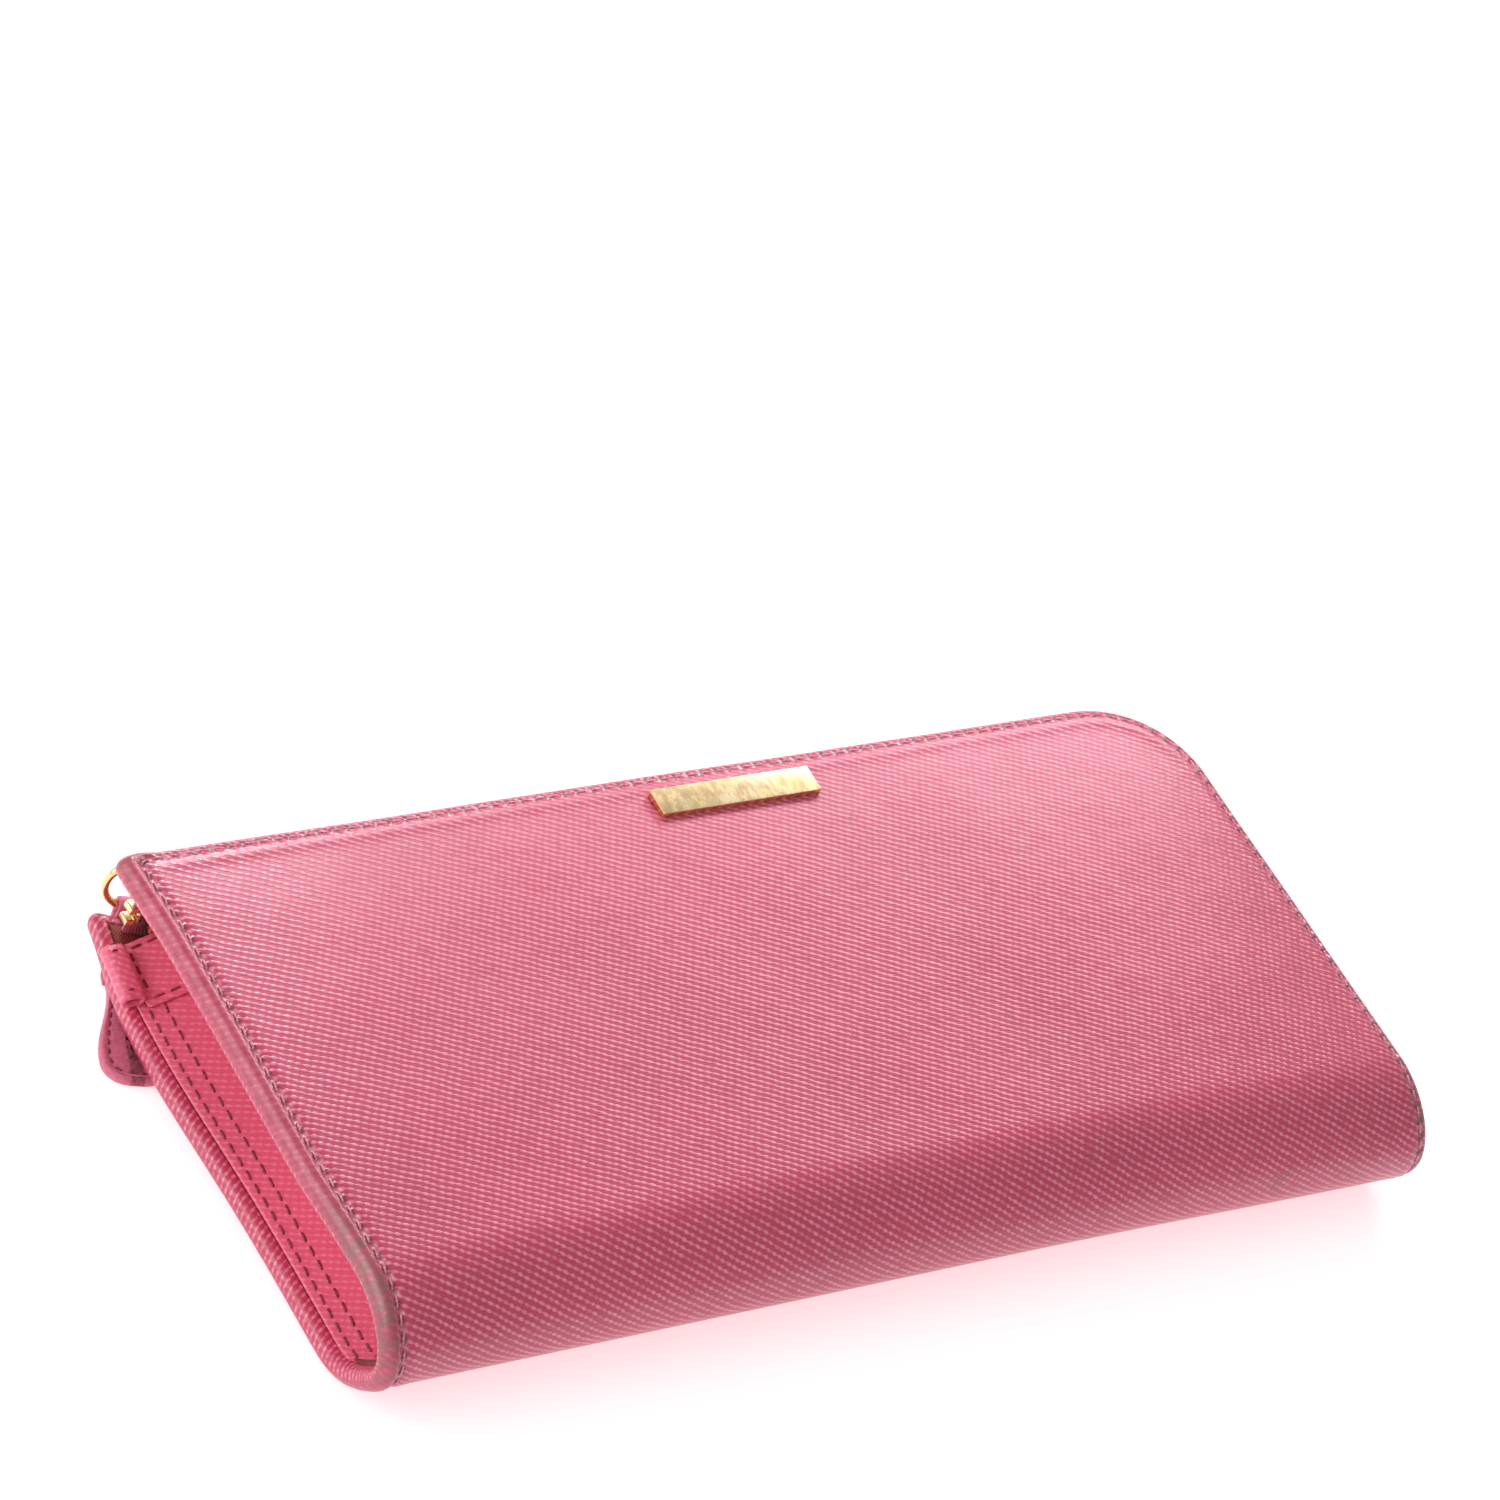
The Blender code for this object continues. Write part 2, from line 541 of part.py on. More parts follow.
def build():
    outer_leather("rear_outer", -1, WALLET)
    cover = outer_leather("front_outer", 1, COVER)
    for prefix, side, parent in (("rear", -1, WALLET), ("front", 1, COVER)):
        panel_ply(prefix + "_board", side, LEATHER + PLY_GAP, BOARD, EDGE_WIDTH + GAP, parent, BOARD_GREY)
        lining(prefix + "_lining", side, parent)
        inner_panels(prefix, side, parent)
        zip_half(prefix, side, parent)
    zip_stops()
    left_gusset()
    strap_loop()
    coin_pocket()
    zip_slider()
    pull_ring()
    pull_tab()
    coin_puller(coin_slider())
    ornament_bar(cover)


build()
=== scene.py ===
import json
import math

import bmesh
import bpy
import numpy as np
from mathutils import Matrix, Vector, kdtree

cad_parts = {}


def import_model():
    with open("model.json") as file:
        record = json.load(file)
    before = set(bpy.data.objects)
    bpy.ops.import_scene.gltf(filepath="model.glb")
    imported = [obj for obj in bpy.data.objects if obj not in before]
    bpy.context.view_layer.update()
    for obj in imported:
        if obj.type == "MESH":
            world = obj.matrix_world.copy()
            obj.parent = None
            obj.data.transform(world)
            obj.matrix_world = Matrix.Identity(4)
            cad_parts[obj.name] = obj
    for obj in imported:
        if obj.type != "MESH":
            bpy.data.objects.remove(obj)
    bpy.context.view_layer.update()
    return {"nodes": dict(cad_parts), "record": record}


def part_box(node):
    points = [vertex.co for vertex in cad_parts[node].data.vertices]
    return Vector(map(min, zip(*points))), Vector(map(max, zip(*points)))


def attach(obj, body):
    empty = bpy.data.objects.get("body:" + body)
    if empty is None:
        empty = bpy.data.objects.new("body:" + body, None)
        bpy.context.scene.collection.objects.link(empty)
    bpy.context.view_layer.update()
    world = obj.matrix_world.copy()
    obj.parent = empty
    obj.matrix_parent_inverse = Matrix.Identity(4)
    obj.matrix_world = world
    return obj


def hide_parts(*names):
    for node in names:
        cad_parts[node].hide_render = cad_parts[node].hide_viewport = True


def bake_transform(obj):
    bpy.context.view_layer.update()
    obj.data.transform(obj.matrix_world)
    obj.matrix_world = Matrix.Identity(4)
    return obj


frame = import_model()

# ---- the wallet's own frame (x along it, y towards the zip, w up from its rear face), tipped a little about X ----
REST_FACE = frame["record"]["mounts"][0]
TILT = math.atan2(REST_FACE["axis"][1], -REST_FACE["axis"][2])
ORIGIN = np.array(REST_FACE["pos_m"], float)
COS, SIN = math.cos(TILT), math.sin(TILT)
MM = 0.001

# ---- sizes shared with the CAD, metres; BACK is the spine's side and FRONT the zip's ----
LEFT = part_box("front_outer")[0].x - ORIGIN[0]
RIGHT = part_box("front_outer")[1].x - ORIGIN[0]
DEPTH, THICK = 0.093, 0.0205
BACK, FRONT, MID = -DEPTH / 2, DEPTH / 2, THICK / 2
FOLD_REACH = 0.0145
FOLD_Y = BACK + FOLD_REACH
CORNER_R, SHARP_R = 0.0175, 0.0020
TURNED_EDGE, EDGE_WIDTH, LEATHER = 0.0034, 0.0023, 0.0013
WALL = 0.0036
ZIP_INSET, ZIP_END_Y, ZIP_START_X = 0.0027, -0.022, LEFT + 0.0042
TEETH_NEAR = 0.0007
RING_R, RING_WIRE = 0.0044, 0.00065
RING_TURN = math.radians(162)
COIN = (-0.0700, 0.0840, -0.0390, 0.0290)      # the coin pocket's left, right, low and top

# ---- stitching: how far apart the stitches start, their length and the thread's radius ----
PITCH, STITCH, THREAD = 0.0026, 0.0022, 0.00019
SLOT_STITCH = {"pitch": 0.0024, "long": 0.0016, "radius": 0.00016}
TAB_STITCH = {"pitch": 0.0019, "long": 0.0013, "radius": 0.00017}
PATCH_STITCH = {"pitch": 0.0026, "long": 0.0020, "radius": 0.00021}
LOOP_STITCH = {"pitch": 0.0016, "long": 0.0011, "radius": 0.00017}

# ---- the outer leather's pattern: x, and s from the rear panel's zip edge round the spine to the front's ----
FLAT = FRONT - FOLD_Y                          # a panel's straight part


def ease(value, low, high):
    """A smooth step from 0 at low to 1 at high."""
    t = np.clip((value - low) / (high - low), 0, 1)
    return t * t * (3 - 2 * t)


def bell(value, middle, width):
    """A smooth hump of height 1."""
    return np.exp(-(((value - middle) / width) ** 2))


def run_along(line):
    """The length run so far at each point of a polyline."""
    return np.concatenate([[0], np.cumsum(np.linalg.norm(np.diff(line, axis=0), axis=1))])


def look_up(places, run, line):
    """The points of a polyline, or its directions, at lengths run along it."""
    return np.stack([np.interp(places, run, column) for column in line.T], -1)


def fold_curve(count=400):
    """The spine's half ellipse from the rear panel to the front one: turn angles and the length run so far."""
    turn = np.linspace(-math.pi / 2, math.pi / 2, count)
    return turn, run_along(np.stack([-FOLD_REACH * np.cos(turn), MID * np.sin(turn)], 1))


FOLD_TURN, FOLD_RUN = fold_curve()
FOLD_LONG = FOLD_RUN[-1]
FRONT_START = FLAT + FOLD_LONG
SPAN = FLAT + FRONT_START

# ---- how the soft skin differs from the CAD's flat panels ----
DOME_LOW, DOME_HIGH, DOME_START = 0.0008, 0.0020, 0.012
RIPPLE = 0.00016
TUCK, TUCK_AT, TUCK_WIDE = 0.0017, 0.36, 0.20  # the lower fold's inward tuck: depth, then shares of the fold
FLARE_LOW, FLARE_HIGH, REAR_BOW = 0.0010, 0.0008, 0.0018
CURL_IN, CURL_UP = 0.0020, 0.0034


def ripple(x, s):
    """Small unevenness of soft leather, between -1 and 1."""
    return (np.sin(61 * x + 23 * s + 0.7) * np.sin(47 * s - 19 * x + 1.9)
            + 0.5 * np.sin(131 * x - 67 * s) * np.sin(113 * s + 41 * x + 0.4)) / 1.5


def rise(x, s):
    """How far the wallet's outer face stands out from the CAD's flat one."""
    front = ease(s, FLAT + 0.60 * FOLD_LONG, FRONT_START)
    towards_zip = np.clip((s - FRONT_START - DOME_START) / (FLAT - DOME_START), 0, 1)
    dome = DOME_LOW + DOME_HIGH * (1 - towards_zip ** 4) * (1 - np.abs(x / RIGHT) ** 7)
    fold_share = (s - FLAT) / FOLD_LONG
    tuck = TUCK * bell(fold_share, TUCK_AT, TUCK_WIDE) * (1 - 0.45 * ease(x, 0.02, RIGHT))
    return front * (dome + RIPPLE * ripple(x, s)) - tuck


def lean(x, s):
    """How far the left edge flares out (to the left): the front's edge and the rear edge's middle."""
    near = 1 - ease(x - LEFT, 0, 0.022)
    front, rear = np.maximum(s - FRONT_START, 0), np.maximum(FLAT - s, 0)
    flare = FLARE_LOW * ease(front, 0, 0.02) + FLARE_HIGH * ease(front, 0.060, FLAT)
    return -near * (flare + REAR_BOW * bell(rear, 0.055, 0.024))


def curl(x, s):
    """How much of the rear panel's soft top left corner a place is in; that corner curls up towards the front."""
    return (1 - ease(x - LEFT, 0, 0.012)) * ease(FLAT - s, 0.063, FLAT)


def section(x, s, depth):
    """The wallet-frame point at pattern place (x, s), depth under the outer face."""
    x, s, depth = np.broadcast_arrays(np.asarray(x, float), np.asarray(s, float), np.asarray(depth, float))
    turn = np.interp(np.clip(s - FLAT, 0, FOLD_LONG), FOLD_RUN, FOLD_TURN)
    y = FOLD_Y - FOLD_REACH * np.cos(turn) + np.maximum(FLAT - s, 0) + np.maximum(s - FRONT_START, 0)
    w = MID + MID * np.sin(turn)
    ny, nw = -np.cos(turn) / FOLD_REACH, np.sin(turn) / MID
    size = np.hypot(ny, nw)
    out, lift = rise(x, s) - depth, curl(x, s)
    return np.stack([x + lean(x, s), y + out * ny / size + CURL_IN * lift, w + out * nw / size + CURL_UP * lift],
                    -1)


def level(height, side):
    """A flat sheet's surface, at a height in the wallet frame, with depth running down (side 1) or up (-1)."""
    return lambda a, b, depth: np.stack(np.broadcast_arrays(a, b, height - side * depth), -1)


def world(points):
    """Wallet-frame points in the row frame."""
    points = np.asarray(points, float)
    x, y, w = points[..., 0], points[..., 1], points[..., 2]
    return np.stack([x, y * COS - w * SIN, y * SIN + w * COS], -1) + ORIGIN


# ---- meshes ----
def make_object(name, points, faces, look, attributes=None, in_wallet=True):
    """A mesh object in the row frame, with its rest place stored as the attribute flat unless one is given."""
    points = np.asarray(points, float).reshape(-1, 3)
    mesh = bpy.data.meshes.new(name)
    mesh.from_pydata((world(points) if in_wallet else points).tolist(), [], faces)
    attributes = dict(attributes or {})
    attributes.setdefault("flat", points)
    for key, values in attributes.items():
        values = np.asarray(values, np.float32)
        kind, field = ("FLOAT_VECTOR", "vector") if values.ndim > 1 else ("FLOAT", "value")
        mesh.attributes.new(key, kind, "POINT").data.foreach_set(field, values.ravel())
    solid = bmesh.new()
    solid.from_mesh(mesh)
    bmesh.ops.recalc_face_normals(solid, faces=solid.faces)
    solid.to_mesh(mesh)
    solid.free()
    mesh.polygons.foreach_set("use_smooth", [True] * len(mesh.polygons))
    mesh.materials.append(look)
    made = bpy.data.objects.new(name, mesh)
    bpy.context.scene.collection.objects.link(made)
    return made


class Heap:
    """Collects small closed shapes into one mesh."""

    def __init__(self):
        self.points, self.faces, self.count = [], [], 0

    def add(self, points, faces):
        self.points.append(np.asarray(points, float).reshape(-1, 3))
        self.faces += [tuple(i + self.count for i in face) for face in faces]
        self.count += len(self.points[-1])

    def make(self, name, look, **options):
        return make_object(name, np.concatenate(self.points), self.faces, look, **options)


def tube_faces(rings, sides, closed=False):
    """Faces over rings of points, capped at both ends unless the tube closes on itself."""
    faces = []
    for ring in range(rings if closed else rings - 1):
        near, far = ring * sides, (ring + 1) % rings * sides
        for side in range(sides):
            other = (side + 1) % sides
            faces.append((near + side, near + other, far + other, far + side))
    if not closed:
        faces.append(tuple(range(sides))[::-1])
        faces.append(tuple((rings - 1) * sides + side for side in range(sides)))
    return faces


def settle(piece, body, slot, *nodes):
    """Lets a piece stand for the CAD nodes named and ride on a body. Its slot is not used."""
    if nodes:
        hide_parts(*nodes)
    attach(piece, body)


def unit(vectors):
    return vectors / np.maximum(np.linalg.norm(vectors, axis=-1, keepdims=True), 1e-12)


def resample(line, step):
    """Evenly spaced places along a polyline of points, with the unit direction at each."""
    run = run_along(line)
    at = look_up(np.arange(0, run[-1] + step / 2, step), run, line)
    return at, unit(np.gradient(at, axis=0))


def turned(ahead):
    """Plane directions turned a quarter to the left."""
    return np.stack([-ahead[:, 1], ahead[:, 0]], 1)


def thread_row(heap, line, normals, pitch=PITCH, long=STITCH, radius=THREAD, slant=0.0):
    """Stitches along a dense line of points: each one a short plump capsule whose ends dive into the leather."""
    run = run_along(line)
    sweep = np.linspace(-1, 1, 7)
    around = np.linspace(0, 2 * math.pi, 8, endpoint=False)
    for start in np.arange(pitch / 2, run[-1] - pitch / 4, pitch):
        places = start + sweep * long / 2
        at, up = look_up(places, run, line), unit(look_up(places, run, normals))
        ahead = unit(np.gradient(at, axis=0))
        across = np.cross(ahead, up)
        at = at + across * (slant * sweep[:, None]) + up * (radius * (0.55 - 1.5 * np.abs(sweep[:, None]) ** 4))
        girth = radius * np.sqrt(np.clip(1.06 - np.abs(sweep) ** 5, 0.05, 1))
        ring = (across[:, None] * np.cos(around)[None, :, None] + up[:, None] * np.sin(around)[None, :, None])
        heap.add(at[:, None] + ring * girth[:, None, None], tube_faces(len(sweep), len(around)))


def stitches(name, rows, look=None, in_wallet=True, **gauge):
    """One piece of thread over rows of (dense points, directions out of the leather)."""
    heap = Heap()
    for at, up in rows:
        thread_row(heap, at, up, **gauge)
    return heap.make(name, look or WINE_THREAD, in_wallet=in_wallet)


def edge_lines(low, high, fine, step):
    """Grid lines between two ends, at the fine distances in from each and a step apart between."""
    fine = np.asarray(fine)
    count = max(2, round((high - low - 2 * fine[-1]) / step))
    middle = np.linspace(low + fine[-1], high - fine[-1], count + 1)
    return np.concatenate([low + fine[:-1], middle, (high - fine[:-1])[::-1]])


def rounded_grid(a_lines, b_lines, radii):
    """A grid over a rectangle whose corners (low left, low right, high left, high right) are drawn in to arcs."""
    a, b = np.meshgrid(a_lines, b_lines, indexing="ij")
    corners = ((a_lines[0], b_lines[0], 1, 1), (a_lines[-1], b_lines[0], -1, 1),
               (a_lines[0], b_lines[-1], 1, -1), (a_lines[-1], b_lines[-1], -1, -1))
    for (corner_a, corner_b, way_a, way_b), radius in zip(corners, radii):
        if radius <= 0:
            continue
        centre_a, centre_b = corner_a + way_a * radius, corner_b + way_b * radius
        u, v = (centre_a - a) * way_a / radius, (centre_b - b) * way_b / radius
        inside = (u > 0) & (v > 0)
        shrink = np.maximum(u, v) / np.maximum(np.hypot(u, v), 1e-9)
        a = np.where(inside, centre_a - way_a * radius * u * shrink, a)
        b = np.where(inside, centre_b - way_b * radius * v * shrink, b)
    return a, b


def inset_of(a, b, box, radii):
    """Distance in from a rounded rectangle's outline, and the unit direction out towards it."""
    low_a, high_a, low_b, high_b = box
    middle_a, middle_b = (low_a + high_a) / 2, (low_b + high_b) / 2
    pa, pb = a - middle_a, b - middle_b
    radius = np.where(pb < 0, np.where(pa < 0, radii[0], radii[1]), np.where(pa < 0, radii[2], radii[3]))
    qa, qb = np.abs(pa) - (high_a - low_a) / 2 + radius, np.abs(pb) - (high_b - low_b) / 2 + radius
    corner = (qa > 0) & (qb > 0)
    reach = np.hypot(np.maximum(qa, 0), np.maximum(qb, 0))
    distance = radius - np.where(corner, reach, np.maximum(qa, qb))
    out_a = np.where(corner, qa / np.maximum(reach, 1e-9), qa >= qb) * np.sign(pa)
    out_b = np.where(corner, qb / np.maximum(reach, 1e-9), qb > qa) * np.sign(pb)
    return distance, out_a, out_b


def leaf(name, surface, box, radii, outer, inner, look, step=0.003, relief=None, hem=None, in_wallet=True):
    """A closed sheet between two depths under a surface, with rounded edges. relief(a, b) lowers its outer face;
    hem(inset) gives the inner face's depth where the edge is turned in."""
    roll = (inner - outer) / 2
    spare = roll * (math.pi / 2 - 1)
    quarter = roll * math.pi / 2
    fine = list(np.linspace(0, quarter, 6))
    if relief or hem:
        fine += list(np.arange(quarter + 0.0003, 0.0062, 0.00032)) + [0.0068, 0.0077, 0.0090]
    low_a, high_a, low_b, high_b = box
    grown = (low_a - spare, high_a + spare, low_b - spare, high_b + spare)
    grown_radii = [r + spare for r in radii]
    a, b = rounded_grid(edge_lines(grown[0], grown[1], fine, step), edge_lines(grown[2], grown[3], fine, step),
                        grown_radii)
    ahead, out_a, out_b = inset_of(a, b, grown, grown_radii)
    turn = np.clip(ahead / quarter, 0, 1) * math.pi / 2
    inset = np.where(ahead < quarter, roll * (1 - np.cos(turn)), ahead - spare)
    slump = roll * (1 - np.sin(turn))
    pattern = np.stack([a, b, np.zeros_like(a)], -1)
    a, b = a - out_a * (inset - (ahead - spare)), b - out_b * (inset - (ahead - spare))
    top = outer + slump + (relief(a, b) if relief else 0)
    bottom = inner - slump if hem is None else np.where(turn < math.pi / 2, inner - slump, hem(inset))
    upper, lower = surface(a, b, top), surface(a, b, bottom)
    rows, columns = a.shape
    index = np.arange(rows * columns).reshape(rows, columns)
    rim = np.zeros((rows, columns), bool)
    rim[0] = rim[-1] = rim[:, 0] = rim[:, -1] = True
    under = index.copy()
    under[~rim] = rows * columns + np.arange((~rim).sum())
    faces = []
    for grid in (index, under):
        faces += np.stack([grid[:-1, :-1], grid[1:, :-1], grid[1:, 1:], grid[:-1, 1:]], -1).reshape(-1, 4).tolist()
    points = np.concatenate([upper.reshape(-1, 3), lower[~rim]])
    flat = np.concatenate([pattern.reshape(-1, 3), pattern[~rim]])
    edge = np.concatenate([inset.ravel(), np.full((~rim).sum(), 1.0)])
    return make_object(name, points, faces, look, {"flat": flat, "edge": edge}, in_wallet)


def rim_line(box, radii, inset=0.0, step=0.0004):
    """Pattern places round a rounded rectangle, an inset in from its outline."""
    low_a, high_a, low_b, high_b = box[0] + inset, box[1] - inset, box[2] + inset, box[3] - inset
    radii = [max(r - inset, 0.0004) for r in radii]
    corners = ((low_a, low_b, radii[0], 180), (high_a, low_b, radii[1], 270), (high_a, high_b, radii[3], 0),
               (low_a, high_b, radii[2], 90))
    line = []
    for a, b, radius, start in corners:
        centre_a, centre_b = a + (radius if a == low_a else -radius), b + (radius if b == low_b else -radius)
        turn = np.radians(np.linspace(start, start + 90, 25))
        line.append(np.stack([centre_a + radius * np.cos(turn), centre_b + radius * np.sin(turn)], 1))
    line = np.concatenate(line + [line[0][:1]])
    return resample(line, step)[0]


def on_surface(surface, line, depth):
    """Points on a surface above pattern places, with the surface's outward direction at each."""
    a, b = line[:, 0], line[:, 1]
    at = surface(a, b, depth)
    return at, unit(surface(a, b, depth - 0.0005) - at)


def slab(outline, low, high, bevel, steps=3):
    """A plate with rounded edges: a convex outline in x and w, between two heights in y."""
    to_centre = outline.mean(0) - outline
    reach = np.linalg.norm(to_centre, axis=1, keepdims=True)
    turns = np.linspace(0, math.pi / 2, steps + 1)
    rings = []
    for end, way in ((low, 1), (high, -1)):
        for turn in turns[::way]:
            ring = outline + to_centre * (bevel * (1 - math.sin(turn)) / reach)
            rings.append(np.column_stack([ring[:, 0], np.full(len(ring), end + way * bevel * (1 - math.cos(turn))),
                                          ring[:, 1]]))
    return np.concatenate(rings), tube_faces(len(rings), len(outline))


def arc_points(centre, radius, start, end, count=8):
    turn = np.radians(np.linspace(start, end, count + 1))
    return np.stack([centre[0] + radius * np.cos(turn), centre[1] + radius * np.sin(turn)], 1)


def from_cad(node, name, look, slot, body, bevel, segments=3, raise_by=0.0):
    """A piece with a CAD node's own shape and softened edges, raised square to the panel, that stands for it."""
    source = frame["nodes"][node].data
    solid = bmesh.new()
    solid.from_mesh(source)
    bmesh.ops.remove_doubles(solid, verts=solid.verts, dist=2e-6)
    bmesh.ops.dissolve_limit(solid, angle_limit=math.radians(2), verts=solid.verts, edges=solid.edges)
    sharp = [e for e in solid.edges if len(e.link_faces) == 2 and e.calc_face_angle() > math.radians(28)]
    bmesh.ops.bevel(solid, geom=sharp, offset=bevel, segments=segments, profile=0.6, affect="EDGES",
                    clamp_overlap=True)
    points = [(v.co + Vector((0, -SIN, COS)) * raise_by)[:] for v in solid.verts]
    solid.verts.index_update()
    faces = [tuple(v.index for v in f.verts) for f in solid.faces]
    solid.free()
    settle(make_object(name, points, faces, look, in_wallet=False), body, slot, node)


# ---- materials ----
SOCKETS = {"metallic": "Metallic", "specular": "Specular IOR Level", "sheen": "Sheen Weight",
           "sheen_rough": "Sheen Roughness"}


class Look:
    """A principled material with short helpers for its nodes. Plain numbers go on the shader's own sockets."""

    def __init__(self, name, **sockets):
        self.material = bpy.data.materials.new(name)
        self.material.use_nodes = True
        self.tree = self.material.node_tree
        self.shader = self.tree.nodes["Principled BSDF"]
        for socket, value in sockets.items():
            self.shader.inputs[SOCKETS[socket]].default_value = value

    def node(self, kind, output, *inputs, **settings):
        """A node's output, from its settings and its inputs: (socket, number or another node's output)."""
        node = self.tree.nodes.new("ShaderNode" + kind)
        for key, value in settings.items():
            setattr(node, key, value)
        for socket, value in inputs:
            if isinstance(value, bpy.types.NodeSocket):
                self.tree.links.new(value, node.inputs[socket])
            else:
                node.inputs[socket].default_value = value
        return node.outputs[output]

    def place(self, name="flat", output="Vector"):
        return self.node("Attribute", output, attribute_name=name)

    def math(self, operation, *values):
        return self.node("Math", 0, *enumerate(values), operation=operation)

    def dot(self, vector, direction):
        return self.node("VectorMath", "Value", (0, vector), (1, direction), operation="DOT_PRODUCT")

    def noise(self, scale, detail=2.0, rough=0.5, stretch=None):
        vector = self.place()
        if stretch:
            vector = self.node("VectorMath", 0, (0, vector), (1, stretch), operation="MULTIPLY")
        return self.node("TexNoise", "Fac", ("Vector", vector), ("Scale", scale), ("Detail", detail),
                         ("Roughness", rough))

    def cells(self, scale):
        return self.node("TexVoronoi", "Distance", ("Vector", self.place()), ("Scale", scale))

    def ramp(self, value, low, high, to_low=0.0, to_high=1.0):
        return self.node("MapRange", "Result", ("Value", value), ("From Min", low), ("From Max", high),
                         ("To Min", to_low), ("To Max", to_high), interpolation_type="SMOOTHSTEP")

    def mix(self, factor, first, second):
        first, second = ((*value, 1.0) if isinstance(value, tuple) else value for value in (first, second))
        return self.node("Mix", 2, (0, factor), (6, first), (7, second), data_type="RGBA")

    def finish(self, colour, rough, *bumps):
        """Links the colour, the roughness and the bump layers of (height, depth in metres), one on another."""
        sockets = [("Base Color", colour), ("Roughness", rough)]
        for height, depth in bumps:
            below = [("Normal", sockets.pop()[1])] if len(sockets) > 2 else []
            sockets.append(("Normal", self.node("Bump", "Normal", ("Distance", depth), ("Height", height), *below)))
        for socket, value in sockets:
            self.tree.links.new(value, self.shader.inputs[socket])
        return self.material


HATCH_TURN = math.radians(31)                  # the rows' slant from the wallet's length
ROW_PITCH, DASH_PITCH = 0.00106, 0.00116
ROW_SWAY, DASH_SWAY = 3.2, 6.0                 # how far the rows and dashes wander, radians
FULL_TURN = 2 * math.pi
ROLL_DARK, ROLL_LIGHT = (0.40, 0.026, 0.068), (0.54, 0.062, 0.120)
# painted highlight on the raised puckers between stitches, and painted shade in the stitch holes
PUCKER_HIGHLIGHT, HOLE_SHADE = (0.82, 0.36, 0.45), (0.10, 0.010, 0.022)
SCUFF_DARK, SCUFF_LIGHT = (0.20, 0.060, 0.055), (0.32, 0.125, 0.115)


def hatch(look):
    """Cross-hatch grain: slanting rows of small lozenges. Returns the lozenge mask, 0 in the cuts and 1 on top."""
    place = look.place()
    wander = look.math("MULTIPLY", look.math("SUBTRACT", look.noise(230), 0.5), ROW_SWAY)
    sway = look.math("MULTIPLY", look.math("SUBTRACT", look.noise(310), 0.5), DASH_SWAY)
    lean_u, lean_v = math.cos(HATCH_TURN) * FULL_TURN, math.sin(HATCH_TURN) * FULL_TURN
    across = look.dot(place, (lean_v / ROW_PITCH, lean_u / ROW_PITCH, 0))
    along = look.dot(place, (lean_u / DASH_PITCH, -lean_v / DASH_PITCH, 0))
    rows = look.math("COSINE", look.math("ADD", across, wander))
    dashes = look.math("COSINE", look.math("ADD", along, sway))
    return look.ramp(look.math("MULTIPLY_ADD", dashes, 0.45, rows), -0.20, 1.25)


def trim(look, skin, lozenge, uneven):
    """The outer skin's smoother rolled edge, painted shade in its stitch holes and painted highlight on the
    puckers between them, and its scuffs, over the hatched skin: the colour and the bump layers."""
    edge, run = look.place("edge", "Fac"), look.place("run", "Fac")
    roll = look.math("MULTIPLY", look.ramp(edge, 0.0012, 0.0034, 1.0, 0.0), look.place("left", "Fac"))
    smooth_roll = look.mix(look.ramp(uneven, 0.35, 0.70), ROLL_DARK, ROLL_LIGHT)
    skin = look.mix(look.math("MULTIPLY", roll, 0.8), skin, smooth_roll)
    seam = look.ramp(look.math("ABSOLUTE", look.place("seam", "Fac")), 0.0002, 0.0009, 1.0, 0.0)
    beat = look.math("COSINE", look.math("MULTIPLY", run, FULL_TURN / PITCH))
    # painted highlight on the puckers between the stitch holes, then painted shade in the holes
    skin = look.mix(look.math("MULTIPLY", seam, look.ramp(beat, 0.1, -1.0, 0.0, 0.45)), skin, PUCKER_HIGHLIGHT)
    skin = look.mix(look.math("MULTIPLY", seam, look.ramp(beat, 0.45, 0.95, 0.12, 0.85)), skin, HOLE_SHADE)
    rub = look.math("MULTIPLY", look.place("worn", "Fac"), look.ramp(look.noise(460, 4.0, 0.7), 0.34, 0.62))
    relief = look.math("MULTIPLY", lozenge, look.math("SUBTRACT", 1.0, look.math("MULTIPLY", roll, 0.8)))
    skin = look.mix(rub, skin, look.mix(look.noise(300), SCUFF_DARK, SCUFF_LIGHT))
    return skin, ((relief, 0.00004), (uneven, 0.00002), (look.math("MULTIPLY", seam, beat), 0.00020),
                  (look.noise(45), 0.0003))


def hatched(name, cut_shade_tone, top_highlight_tone, trimmed=False, **sockets):
    """Cross-hatched leather, with painted highlight on its lozenge tops and painted shade in the cuts between
    them. The trimmed one is the outer skin's.
    """
    look = Look(name, **{"specular": 0.75, "sheen": 0.06, "sheen_rough": 0.5, **sockets})
    lozenge = hatch(look)
    cloud = look.ramp(look.noise(22, 3.0), 0.3, 0.7)
    uneven = look.noise(520)
    # painted light: the lozenge tops take the pale tone as painted highlight, the cuts the dark one as painted
    # shade
    strength = look.math("MULTIPLY", lozenge, look.ramp(uneven, 0.28, 0.60, 0.35, 1.0))
    skin = look.mix(strength, look.mix(cloud, cut_shade_tone, tuple(c * 1.10 for c in cut_shade_tone)),
                    look.mix(cloud, top_highlight_tone, tuple(c * 1.06 for c in top_highlight_tone)))
    if trimmed:
        skin, bumps = trim(look, skin, lozenge, uneven)
    else:
        bumps = (lozenge, 0.00006), (uneven, 0.00003), (look.noise(60), 0.0003)
    return look.finish(skin, look.ramp(strength, 0.0, 1.0, 0.34, 0.25), *bumps)


